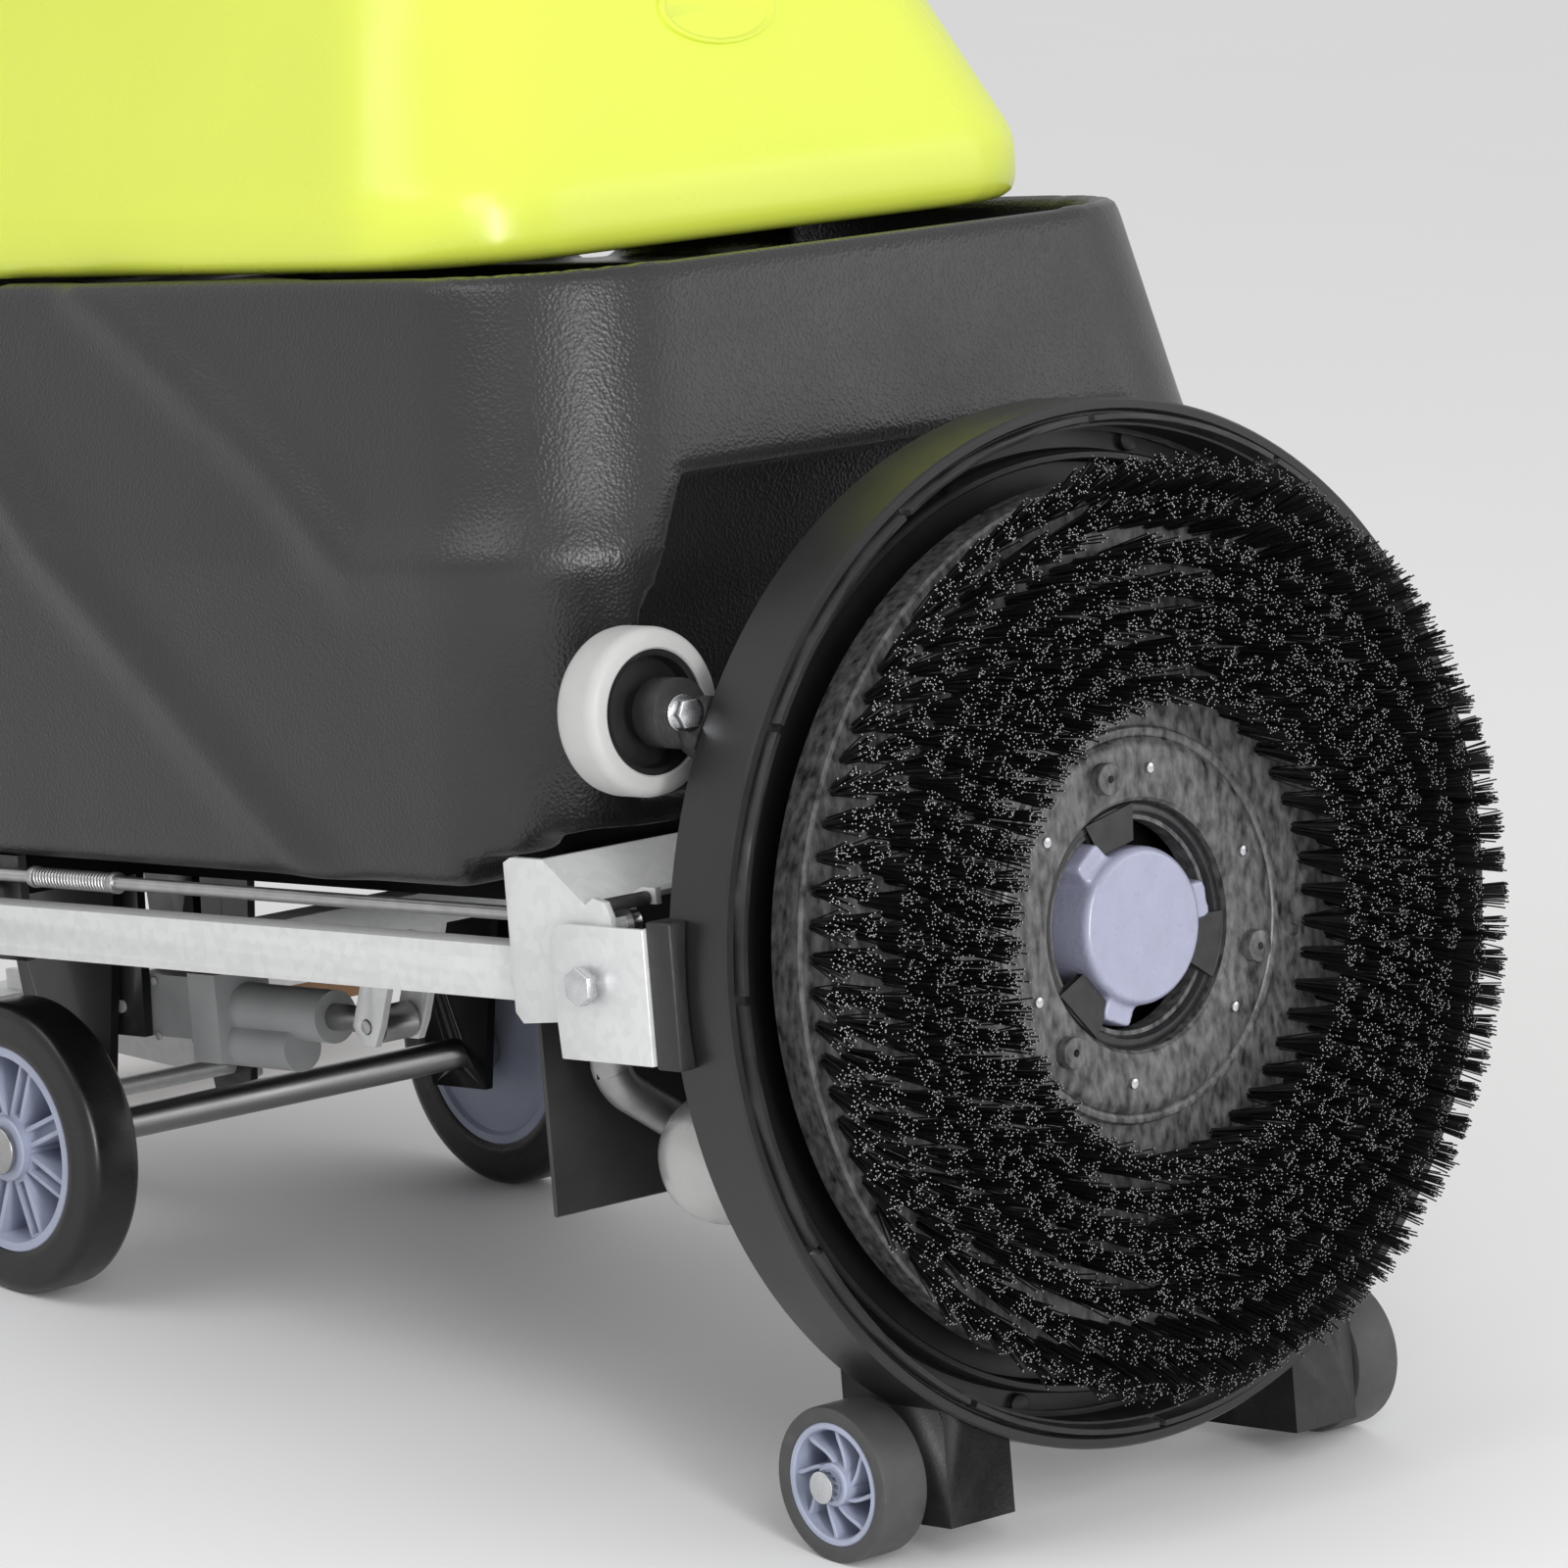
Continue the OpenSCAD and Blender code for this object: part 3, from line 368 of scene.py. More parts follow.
for side in (-1, 1):
    for route in (((-215, RIM), (-398, 429), (-477, 371), (-640, 374)),
                  ((-120, 440), (-169, 397), (-422, 185))):
        fold(tank, side, route, FOLD_HEIGHT, FOLD_WIDTH)
tank_skin = finish("tank_skin", (0.021, 0.021, 0.022), 0.34, tone=0.10, tone_size=160,
                   grain="pebble", grain_size=2.0, depth=0.34, scuff=0.10)
piece("solution_tank_shell", tank, "chassis", tank_skin, node="solution_tank", slot="tank_grey",
      smooth=60)

# ---- Splash flap ----
# A sheet of black rubber hung from the tank's lip stops water that the brush throws back. It
# hangs freely.
FLAP_LOW = 13
FLAP_TOP = 205
flap = block((-264, -587.5, FLAP_LOW), (264, -584.5, FLAP_TOP), 0.8, 1)
for cut in range(1, 12):
    for spot, normal in (((0, 0, FLAP_LOW + 16 * cut), (0, 0, 1)),
                         ((44 * (cut - 6), 0, 0), (1, 0, 0))):
        bmesh.ops.bisect_plane(flap, geom=flap.verts[:] + flap.edges[:] + flap.faces[:],
                               plane_co=spot, plane_no=normal)
for vert in flap.verts:
    hang = (FLAP_TOP - vert.co.z) / (FLAP_TOP - FLAP_LOW)
    vert.co.y += hang * (2.5 * math.sin(vert.co.x / 70) + 2 * math.sin(vert.co.x / 31 + 1))
rubber_sheet = finish("rubber_sheet", (0.022, 0.022, 0.022), 0.5, tone=0.25, tone_size=60,
                      grain_size=1.5, depth=0.04, scuff=0.3)
flap = piece("splash_flap_sheet", flap, "chassis", rubber_sheet, node="splash_flap",
             slot="rubber_sheet")
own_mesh(flap)

# ---- Frame, axle and batteries ----
# The chassis is welded from black enamelled bar and plate. A ground steel axle is pressed
# through it. Two sealed batteries with ribbed cases stand in the tank's well.
BODY_OF = {node: name for name, nodes in frame["record"]["behaviour"]["bodies"].items()
           for node in nodes}


def join(bm, *others):
    """Adds other shapes to a mesh as separate bodies of the same piece."""
    for other in others:
        mesh = bpy.data.meshes.new("part")
        other.to_mesh(mesh)
        other.free()
        bm.from_mesh(mesh)
        bpy.data.meshes.remove(mesh)
    return bm


def cad_copy(node):
    """A CAD part's shape in millimetres on the level machine, merged into whole faces."""
    bm = bmesh.new()
    bm.from_mesh(frame["nodes"][node].data)
    bm.transform(STANCE.inverted())
    bmesh.ops.remove_doubles(bm, verts=bm.verts, dist=0.004)
    bmesh.ops.dissolve_limit(bm, angle_limit=math.radians(0.8), verts=bm.verts, edges=bm.edges)
    return bm


def softened(node, width, *materials, slot=None, extra=(), segments=2):
    """A CAD part with its edges broken by a small radius, and any small parts added to it."""
    bm = join(eased(cad_copy(node), width, segments=segments), *extra)
    return piece(node + "_finished", bm, BODY_OF[node], *materials, node=node, slot=slot)


frame_enamel = finish("frame_enamel", (0.022, 0.022, 0.024), 0.36, coat=0.3, tone=0.15,
                      tone_size=50, grain_size=3, depth=0.05, scuff=0.25)
ground_steel = finish("ground_steel", (0.42, 0.42, 0.42), 0.34, metal=1.0, tone=0.12,
                      tone_size=14, grain_size=0.9, depth=0.02, stretch=(0.06, 1, 1))
welds = [rod((s * 150, y, 168), (s * 150, y + 30, 168), 2.2, 8) for s in (-1, 1)
         for y in (-510, 80, 160)]
softened("chassis_frame", 1.2, frame_enamel, slot="frame_paint", extra=welds)
softened("main_axle", 1.0, ground_steel, slot="steel")
case = bmesh.new()
terminals = bmesh.new()
BATTERY_TOP = 424
for y in (-236, -56):
    join(case, block((-165, y, 205.1), (165, y + 172, 408), 4, 3),
         block((-163, y + 2, 409), (163, y + 170, BATTERY_TOP), 3, 2),
         block((-40, y + 70, 423), (40, y + 102, 429), 2, 2))
    for first_rib in (-150, -132):
        for x in range(first_rib, first_rib + 26 * 11, 26):
            join(case, block((x, y - 0.1, 230), (x + 4, y + 1.5, 395), 0.6, 1))
    for x in (-140, 140):
        join(terminals, rod((x, y + 30, BATTERY_TOP), (x, y + 30, BATTERY_TOP + 6), 8, 20, 1))
battery_case = finish("battery_case", (0.022, 0.022, 0.026), 0.45, tone=0.12, tone_size=40,
                      grain_size=1.4, depth=0.06)
piece("battery_cases", case, "chassis", battery_case, node="batteries", slot="battery_case")
bright_zinc = finish("bright_zinc", (0.62, 0.63, 0.65), 0.26, metal=1.0, tone=0.07, tone_size=5,
                     grain_size=0.8, depth=0.015)
piece("battery_terminals", terminals, "chassis", bright_zinc, node="batteries",
      slot="bolt_zinc")

# ---- Rear column ----
# A hollow moulding in the tank's own grained plastic. It carries the panel and has the
# suction port and the charging inlet in its rear face, and it is fixed by four screws.
black_moulding = finish("black_moulding", (0.012, 0.012, 0.013), 0.42, tone=0.2, tone_size=30,
                        grain_size=1.1, depth=0.05, scuff=0.12)
column = eased(cad_copy("rear_column"), 7, segments=3)
piece("rear_column_shell", column, "chassis", tank_skin, node="rear_column", slot="tank_grey")
screws = bmesh.new()
COLUMN_BACK = 300
for x in (-110, 110):
    for z in (240, 400):
        join(screws,
             rod((x, COLUMN_BACK - 1, z), (x, COLUMN_BACK + 3, z), 7, 6, 0.6),
             rod((x, COLUMN_BACK - 1, z), (x, COLUMN_BACK + 0.8, z), 10, 24, 0.4))
piece("column_screws", screws, "chassis", bright_zinc, node="rear_column", slot="bolt_zinc")
softened("charge_socket", 1.2, black_moulding, slot="black_plastic")

# ---- Control panel ----
# A sloping black housing with a recessed grey facia, a battery gauge, an hour counter window,
# two push buttons and a key switch. The facia is let in and the window is a smoked lens.
PANEL = Matrix.Translation((0, 285, 808)) @ Matrix.Rotation(math.radians(25), 4, "X")


def on_panel(bm):
    """Moves a shape from the panel's own sloping plane to the machine."""
    bm.transform(PANEL)
    return bm


piece("control_panel_housing", eased(cad_copy("control_panel"), 2.5, segments=3), "chassis",
      black_moulding, node="control_panel", slot="black_plastic")
facia_grey = finish("facia_grey", (0.16, 0.165, 0.17), 0.38, tone=0.05, tone_size=60,
                    grain_size=1.0, depth=0.02)
smoked = finish("smoked_lens", (0.010, 0.012, 0.014), 0.08, coat=0.6, tone=0.1, tone_size=60,
                grain_size=3, depth=0.004)
FACIA = 31
facia = block((-138, -30, FACIA - 0.99), (138, 30, FACIA), 0.4, 1)
wells = [rod((x, 0, 25), (x, 0, 40), r, 48) for x, r in ((-100, 13.5), (-60, 13.5), (110, 11.5))]
facia = carved(facia, *wells)
piece("panel_facia", on_panel(facia), "chassis", facia_grey, node="control_panel",
      slot="ram_plastic")
GAUGE_FACE = 32.4
lens = join(block((-30, -6, FACIA + 0.01), (30, 20, FACIA + 2), 0.8, 2),
            block((-30, -22, FACIA + 0.01), (30, -11, GAUGE_FACE), 0.6, 2))
piece("panel_windows", on_panel(lens), "chassis", smoked, node="control_panel",
      slot="black_plastic")
cells = bmesh.new()
for x in range(-26, 28, 9):
    join(cells, block((x, -19.5, GAUGE_FACE + 0.01), (x + 6, -13.5, GAUGE_FACE + 0.4), 0.15, 1))
gauge = finish("gauge_cells", (0.10, 0.55, 0.16), 0.3, tone=0.15, tone_size=12, grain_size=1,
               depth=0.005)
piece("gauge_cells", on_panel(cells), "chassis", gauge, node="control_panel",
      slot="button_green")
button_green = finish("button_green", (0.03, 0.30, 0.09), 0.3, coat=0.3, tone=0.06,
                      tone_size=8, grain_size=0.8, depth=0.01)
button_blue = finish("button_blue", (0.05, 0.16, 0.40), 0.3, coat=0.3, tone=0.06,
                     tone_size=8, grain_size=0.8, depth=0.01)
softened("brush_button", 1.6, button_green, slot="button_green", segments=3)
softened("vacuum_button", 1.6, button_blue, slot="button_blue", segments=3)
softened("key_switch", 0.7, bright_zinc, slot="bolt_zinc")

# ---- Handle and start lever ----
# The handle is one bent steel tube with foam grips pushed over both hands' places. The yellow
# start lever hangs in front of it on a rod through the panel.
def bent(points, radius, steps=8):
    """A route whose corners are replaced by smooth bends."""
    points = [Vector(p) for p in points]
    route = [points[0]]
    for before, corner, after in zip(points, points[1:], points[2:]):
        a = corner + (before - corner).normalized() * radius
        b = corner + (after - corner).normalized() * radius
        for k in range(steps + 1):
            t = k / steps
            route.append(a.lerp(corner, t).lerp(corner.lerp(b, t), t))
    return route + [points[-1]]


def swept(route, radius_at, sides=24):
    """A bar along a route whose radius may change from ring to ring."""
    bm = bmesh.new()
    turn = (route[1] - route[0]).to_track_quat("Z", "Y")
    spot = Matrix.LocRotScale(route[0], turn, Vector((1, 1, 1)) * radius_at(0))
    ring = bmesh.ops.create_circle(bm, segments=sides, radius=1, cap_ends=False, matrix=spot)
    edges = list({e for v in ring["verts"] for e in v.link_edges})
    bmesh.ops.contextual_create(bm, geom=edges)
    for index in range(1, len(route)):
        way = route[min(index + 1, len(route) - 1)] - route[index - 1]
        turn = (turn @ Vector((0, 0, 1))).rotation_difference(way) @ turn
        after = Matrix.LocRotScale(route[index], turn, Vector((1, 1, 1)) * radius_at(index))
        grown = bmesh.ops.extrude_edge_only(bm, edges=edges)["geom"]
        edges = [g for g in grown if isinstance(g, bmesh.types.BMEdge)
                 and all(v in grown for v in g.verts)]
        verts = [g for g in grown if isinstance(g, bmesh.types.BMVert)]
        bmesh.ops.transform(bm, matrix=after @ spot.inverted(), verts=verts)
        spot = after
    bmesh.ops.contextual_create(bm, geom=edges)
    bmesh.ops.recalc_face_normals(bm, faces=bm.faces)
    return bm


HANDLE_REAR = 416
HANDLE_HEIGHT = 828
handle = swept(bent([(-150, 290, 812), (-205, 290, 812), (-205, HANDLE_REAR, HANDLE_HEIGHT),
                     (205, HANDLE_REAR, HANDLE_HEIGHT), (205, 290, 812), (150, 290, 812)], 34),
               lambda i: 12.4)
piece("handle_bar", handle, "chassis", frame_enamel, node="handle_tube", slot="frame_paint")
grip_foam = finish("grip_foam", (0.016, 0.016, 0.017), 0.85, tone=0.2, tone_size=10,
                   grain="pebble", grain_size=1.6, depth=0.25)
grips = bmesh.new()
for side in (-1, 1):
    route = [Vector((side * x, HANDLE_REAR, HANDLE_HEIGHT)) for x in range(56, 152, 2)]
    join(grips, swept(route, lambda i: 12.6 if i in (0, 47) else 13.9 - 0.5 * (i % 4 == 0)))
piece("handle_grips", grips, "chassis", grip_foam, node="handle_tube", slot="rubber_sheet")
lever_yellow = finish("lever_yellow", (0.72, 0.46, 0.02), 0.35, coat=0.3, tone=0.06,
                      tone_size=30, grain_size=2, depth=0.03, scuff=0.1)
softened("start_lever", 0.9, lever_yellow, slot="lever_yellow")

# ---- Under the tank ----
# The drain spigot with its red tap, the water valve and the lift actuator are bought-in
# mouldings and castings that are screwed under the tank and the frame.
lever_red = finish("lever_red", (0.50, 0.025, 0.02), 0.32, coat=0.2, tone=0.08, tone_size=20,
                   grain_size=1.2, depth=0.02)
cast_aluminium = finish("cast_aluminium", (0.30, 0.30, 0.31), 0.50, metal=0.7, tone=0.12,
                        tone_size=25, grain_size=1.6, depth=0.12)
grey_nylon = finish("grey_nylon", (0.27, 0.275, 0.28), 0.44, tone=0.07, tone_size=30,
                    grain_size=1.1, depth=0.03)
softened("drain_spigot", 0.7, black_moulding, slot="black_plastic")
softened("drain_tap", 0.8, lever_red, slot="lever_red")
softened("solenoid_valve", 1.0, black_moulding, slot="black_plastic")
softened("vacuum_motor", 1.5, cast_aluminium, slot="cast_grey")
gear_screws = [rod((-137.2, y, z), (-138.9, y, z), 2.6, 16, 0.4)
               for y, z in ((-70, 62), (-106, 62), (-106, 96), (-70, 96))]
softened("actuator_body", 2.0, grey_nylon, slot="ram_plastic", segments=3, extra=gear_screws)
softened("actuator_rod", 0.6, ground_steel, slot="steel")

# ---- Lift linkage ----
# Two rectangular steel tubes swing the deck up and down, and thin rods above them keep the
# carrier level. Each rod's rear end is cushioned by a coil spring between two collars.
galvanised = finish("galvanised_sheet", (0.66, 0.665, 0.67), 0.42, metal=0.4, tone=0.03,
                    tone_size=6, grain="spangle", grain_size=1.2, depth=0.012)
softened("lift_arms", 1.4, galvanised, slot="zinc_sheet")
softened("pivot_bolts", 0.8, bright_zinc, slot="bolt_zinc")
softened("upper_rods", 0.5, ground_steel, slot="steel")
springs = bmesh.new()
TURNS = 24
COIL_STEPS = TURNS * 20
COIL_LENGTH = 72
for side in (-1, 1):
    axis = Vector((side * 270, 0, 183))
    for y in (-220, -142):
        join(springs, rod(axis + Vector((0, y - 2.5, 0)), axis + Vector((0, y + 2.5, 0)),
                          6.4, 24, 0.6))
    wire = bmesh.new()
    bmesh.ops.create_circle(wire, segments=8, radius=0.75,
                            matrix=Matrix.Translation(axis + Vector((5.2, -217, 0))))
    bmesh.ops.spin(wire, geom=wire.edges[:] + wire.verts[:], cent=axis, axis=(0, 1, 0),
                   dvec=(0, COIL_LENGTH / COIL_STEPS, 0), angle=2 * math.pi * TURNS,
                   steps=COIL_STEPS)
    join(springs, wire)
bmesh.ops.recalc_face_normals(springs, faces=springs.faces)
piece("coil_springs", springs, "upper_links", ground_steel, node="rod_springs", slot="steel")

# ---- Carrier and hinge ----
# Laser-cut galvanised plates with a slanted cross sheet carry the deck's pivot bolts. The
# latch pin is a rubber-sleeved rod, and folded plates bolt the deck's cast ears to the pivot.
softened("carrier_frame", 0.5, galvanised, slot="zinc_sheet")
softened("latch_pin", 0.8, rubber_sheet, slot="bolt_zinc")
softened("hinge_plates", 0.7, galvanised, slot="zinc_sheet")
cast_black = finish("cast_black", (0.015, 0.015, 0.0155), 0.48, tone=0.2, tone_size=12,
                    grain_size=2.0, depth=0.22)
softened("deck_ears", 1.5, cast_black, slot="black_plastic")

# ---- Deck housing ----
# The deck is one deep moulding with a smooth outer band, a stiffening ring and a back plate.
# A segmented rubber skirt is pushed into its lip.
DECK = Matrix.Translation((0, -729, 145)) @ Matrix.Rotation(math.radians(90), 4, "X")


def turned(profile, steps=96, angle=2 * math.pi):
    """A shape turned about the deck's axis from points of radius and height."""
    bm = bmesh.new()
    verts = [bm.verts.new((r, 0, w)) for r, w in profile]
    pairs = list(zip(verts, verts[1:]))
    if profile[0][0] > 0:
        pairs.append((verts[-1], verts[0]))
    edges = [bm.edges.new(pair) for pair in pairs]
    bmesh.ops.spin(bm, geom=verts + edges, cent=(0, 0, 0), axis=(0, 0, 1), angle=angle,
                   steps=steps, use_merge=True)
    bmesh.ops.remove_doubles(bm, verts=bm.verts, dist=0.001)
    bmesh.ops.recalc_face_normals(bm, faces=bm.faces)
    return bm


def on_deck(bm):
    """Moves a shape from the deck's own axis to the machine."""
    bm.transform(DECK)
    return bm


def around(radius, degrees, height=0.0):
    """A point on a circle about an upright axis."""
    angle = math.radians(degrees)
    return Vector((radius * math.cos(angle), radius * math.sin(angle), height))


deck_band = finish("deck_band", (0.010, 0.010, 0.0105), 0.33, tone=0.12, tone_size=80,
                   grain_size=1.6, depth=0.035, scuff=0.10)
shell = turned([(46, 0), (288, 0), (290, 2), (290, 45.5), (288.8, 47), (284.4, 47), (283, 45.5),
                (283, 9), (281, 7), (262.5, 7), (261, 8.5), (261, 23), (260, 24), (257, 24),
                (256, 23), (256, 8.5), (254.5, 7), (46, 7)], 160)
studs = [rod(around(270, turn, 6.5), around(270, turn, 11), 7, 24, 1)
         for turn in range(15, 375, 30)]
piece("deck_shell", on_deck(join(shell, *studs)), "deck", deck_band, node="deck_housing",
      slot="band_plastic")
softened("splash_skirt", 0.4, black_moulding, slot="black_plastic", segments=1)

# ---- Drive motor and gearbox ----
# A silver enamelled motor lies across the deck and drives the brush through a cast worm
# gearbox that is screwed to the deck's back plate.
silver_enamel = finish("silver_enamel", (0.46, 0.46, 0.455), 0.30, metal=0.5, coat=0.3,
                       tone=0.06, tone_size=60, grain_size=2.2, depth=0.02)
motor = turned([(0, 42.01), (38, 42.01), (38, 60), (37, 61), (37, 66), (38, 67), (38, 208),
                (37.4, 214), (35.6, 221), (32, 229), (27, 235.5), (20, 240), (10, 241.8),
                (0, 242)], 64)
join(motor, rod((0, 0, 38), (0, 0, 43), 29.8, 48))
motor.transform(Matrix.Translation((0, -671, 44)) @ Matrix.Rotation(math.radians(-90), 4, "Y"))
piece("drive_motor_can", motor, "deck", silver_enamel, node="drive_motor", slot="motor_silver")
softened("gearbox", 2.0, cast_aluminium, slot="cast_grey")

# ---- Pull hoop ----
# A bent steel tube that the operator pulls to swing the deck up. Its ends are welded to the
# deck's back and its bends are tight.
HALF_HOOP = [(253, -729, 128), (253, -660, 125), (251, -626, 108), (244, -624, 86),
             (160, -614, 34), (100, -605, 28)]
hoop = swept(bent([(-x, y, z) for x, y, z in HALF_HOOP] + HALF_HOOP[::-1], 14),
             lambda i: 10.9)
dull_steel = finish("dull_steel", (0.34, 0.34, 0.345), 0.42, metal=0.85, tone=0.12,
                    tone_size=18, grain_size=1.2, depth=0.02)
piece("pull_hoop_tube", hoop, "deck", dull_steel, node="pull_hoop", slot="steel")

# ---- Deck wheels ----
# Two small castor wheels on ribbed black brackets hold the deck off the floor when it is
# flipped. Grey rubber treads are bonded to blue-grey hubs with eight curved spokes.
small_low, small_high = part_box("small_tyre_right")
small_axis = STANCE.inverted() @ ((small_low + small_high) / 2)
wheel_plastic = finish("wheel_plastic", (0.34, 0.372, 0.48), 0.40, tone=0.08, tone_size=25,
                       grain_size=1.2, depth=0.03)
tread_grey = finish("tread_grey", (0.052, 0.052, 0.053), 0.50, tone=0.12, tone_size=20,
                    grain_size=1.3, depth=0.05, scuff=0.25)


def at_wheel(bm, x, axis):
    """Turns a shape from its own Z axis onto a wheel's axle, with its face outwards."""
    side = math.copysign(1, x)
    bm.transform(Matrix.Translation((x, axis.y, axis.z))
                 @ Matrix.Rotation(side * math.pi / 2, 4, "Y"))
    return bm


def spoke(inner, outer, thick, low, high, sweep, steps=7):
    """One flat spoke that curves from the hub to the rim."""
    bm = bmesh.new()
    left, right = [], []
    for k in range(steps + 1):
        t = k / steps
        reach = inner + (outer - inner) * t
        way = around(1, sweep * math.sin(math.pi / 2 * t))
        across = Vector((-way.y, way.x, 0)) * thick / 2
        left.append(bm.verts.new(way * reach + across + Vector((0, 0, low))))
        right.append(bm.verts.new(way * reach - across + Vector((0, 0, low))))
    face = bm.faces.new(left + right[::-1])
    grown = bmesh.ops.extrude_face_region(bm, geom=[face])["geom"]
    bmesh.ops.translate(bm, verts=[g for g in grown if isinstance(g, bmesh.types.BMVert)],
                        vec=(0, 0, high - low))
    bmesh.ops.recalc_face_normals(bm, faces=bm.faces)
    return eased(bm, 0.5, 40, 1)


def small_hub():
    """Rim, web, boss and eight curved spokes of a deck wheel."""
    hub = turned([(6.05, -16), (11, -16), (30.5, -13), (31.5, -15.5), (33.6, -15.5),
                  (34.4, -14.7), (34.4, 14.7), (33.6, 15.5), (31.5, 15.5), (30.5, 14.5),
                  (30.5, -9), (12, -9), (12, 15), (11, 16), (6.05, 16)], 64)
    for k in range(8):
        arm = spoke(11, 31, 2.8, -9.5, 12.5, 38)
        arm.transform(Matrix.Rotation(math.radians(45 * k), 4, "Z"))
        join(hub, arm)
    return hub


def small_tread():
    """The tread: a flat crown with round shoulders and a step at each side."""
    return turned([(34.5, -15), (37, -16.5), (41, -16.5), (42.8, -15.6), (43.5, -13.6),
                   (43.5, 13.6), (42.8, 15.6), (41, 16.5), (37, 16.5), (34.5, 15)], 96)


SMALL_WHEELS = {"right": -184, "left": 184}
for name, x in SMALL_WHEELS.items():
    body = "deck_wheel_" + name
    piece(f"small_hub_{name}_spoked", at_wheel(small_hub(), x, small_axis), body, wheel_plastic,
          node="small_hub_" + name, slot="blue_grey_plastic")
    piece(f"small_tread_{name}", at_wheel(small_tread(), x, small_axis), body, tread_grey,
          node="small_tyre_" + name, slot="tyre_grey")
softened("wheel_brackets", 2.0, cast_black, slot="black_plastic")
softened("deck_axles", 0.8, bright_zinc, slot="bolt_zinc")

# ---- Main wheels ----
# Solid black rubber tyres are pressed onto blue-grey moulded hubs that have eight hollow
# ribbed spokes and a closed inner face.
tyre_black = finish("tyre_black", (0.006, 0.006, 0.0065), 0.30, tone=0.2, tone_size=30,
                    grain_size=1.4, depth=0.04, scuff=0.12)


def main_hub():
    """Rim, web, boss and eight hollow spokes of a main wheel."""
    hub = turned([(10.05, -19), (19, -19), (56, -15), (58, -18), (63, -18), (63.9, -17),
                  (63.9, 17), (63, 18), (58, 18), (57, 16), (56, -11), (20, -11), (20, 18),
                  (19, 19), (10.05, 19)], 96)
    for k in range(8):
        arm = block((18, -6.5, -11.5), (58, 6.5, 14), 1.0, 2)
        arm = carved(arm, block((22, -3.4, 6), (55, 3.4, 20), 0.4, 1))
        arm.transform(Matrix.Rotation(math.radians(45 * k + 20), 4, "Z"))
        join(hub, arm)
    return hub


def main_tread():
    """The tyre: a flat crown, round shoulders and a raised bead beside the rim."""
    return turned([(64, -18), (67, -19.4), (70, -19.2), (74, -18.4), (82, -18.8), (87, -17.4),
                   (89.4, -14.5), (90, -11), (90, 11), (89.4, 14.5), (87, 17.4), (82, 18.8),
                   (74, 18.4), (70, 19.2), (67, 19.4), (64, 18)], 128)


MAIN_WHEELS = {"right": -192, "left": 192}
for name, x in MAIN_WHEELS.items():
    body = "main_wheel_" + name
    piece(f"main_hub_{name}_spoked", at_wheel(main_hub(), x, Vector()), body, wheel_plastic,
          node="main_hub_" + name, slot="blue_grey_plastic")
    piece(f"main_tread_{name}", at_wheel(main_tread(), x, Vector()), body, tyre_black,
          node="main_tyre_" + name, slot="tyre_black")

# ---- Wall roller ----
# A pale non-marking roller keeps the deck off walls. It turns on a zinc bolt through a cast
# fork on the deck's edge.
ROLLER_X = -258
ROLLER_Z = 296
ROLLER = Matrix.Translation((ROLLER_X, -685, ROLLER_Z)) @ Matrix.Rotation(math.radians(90), 4, "X")
pale_rubber = finish("pale_rubber", (0.45, 0.45, 0.445), 0.5, tone=0.04, tone_size=25,
                     grain_size=1.6, depth=0.03, scuff=0.1)
tyre = turned([(34, -15), (35, -16), (40.5, -16), (43.5, -14.8), (45.4, -12), (46, -9), (46, 9),
               (45.4, 12), (43.5, 14.8), (40.5, 16), (35, 16), (34, 15)], 96)
tyre.transform(ROLLER)
piece("wall_roller_tyre", tyre, "wall_roller", pale_rubber, node="roller_tyre",
      slot="roller_white")
hub = turned([(5.05, -16), (11.5, -16), (12, -15.5), (14, -7), (29.5, -5), (30.5, -13.5),
              (31.5, -14), (33.9, -14), (33.9, 14), (31.5, 14), (30.5, 13.5), (29.5, 5), (14, 7),
              (12, 15.5), (11.5, 16), (5.05, 16)], 72)
hub.transform(ROLLER)
piece("wall_roller_hub", hub, "wall_roller", black_moulding, node="roller_hub",
      slot="black_plastic")
softened("roller_bracket", 2.0, cast_black, slot="black_plastic")
washer = rod((ROLLER_X, -721, ROLLER_Z), (ROLLER_X, -722.2, ROLLER_Z), 10.2, 32, 0.3)
softened("roller_bolt", 0.7, bright_zinc, slot="bolt_zinc", extra=[washer])

# ---- Brush block ----
# The block is moulded from recycled plastic with a grey marbling, and drilled for the tufts.
# A raised ring, three screw bosses and six bright rivets surround the clutch.
BLOCK_FRONT = 57
RAISED = 63
BOLT_CIRCLE = 87
FIRST_TAB = 104
marbled = finish("marbled_block", (0.075, 0.075, 0.076), 0.32, tone=0.85, tone_size=5,
                 grain_size=2.0, depth=0.10, stretch=(1, 1, 0.45))
disc = turned([(72, 32), (244, 32), (246, 34), (246, 55), (244.5, 57), (113, 57), (110.5, 57.6),
               (109, 60.4), (107, 60.8), (105, 60.2), (104, 59), (104, 42), (72, 41)], 144)
holes = [rod(around(125, turn, 52), around(125, turn, 60), 4.2, 6)
         for turn in (-10, 110, 230)]
piece("brush_disc", on_deck(carved(disc, *holes)), "brush", marbled, node="brush_block",
      slot="block_grey")
flange = turned([(58.5, 41), (104, 41), (104, 60), (102.5, 61.4), (98, RAISED - 0.2),
                 (76, RAISED - 0.2), (71, RAISED - 1), (69, 60), (69, 53.5), (58.5, 53)], 120)
bosses = bmesh.new()
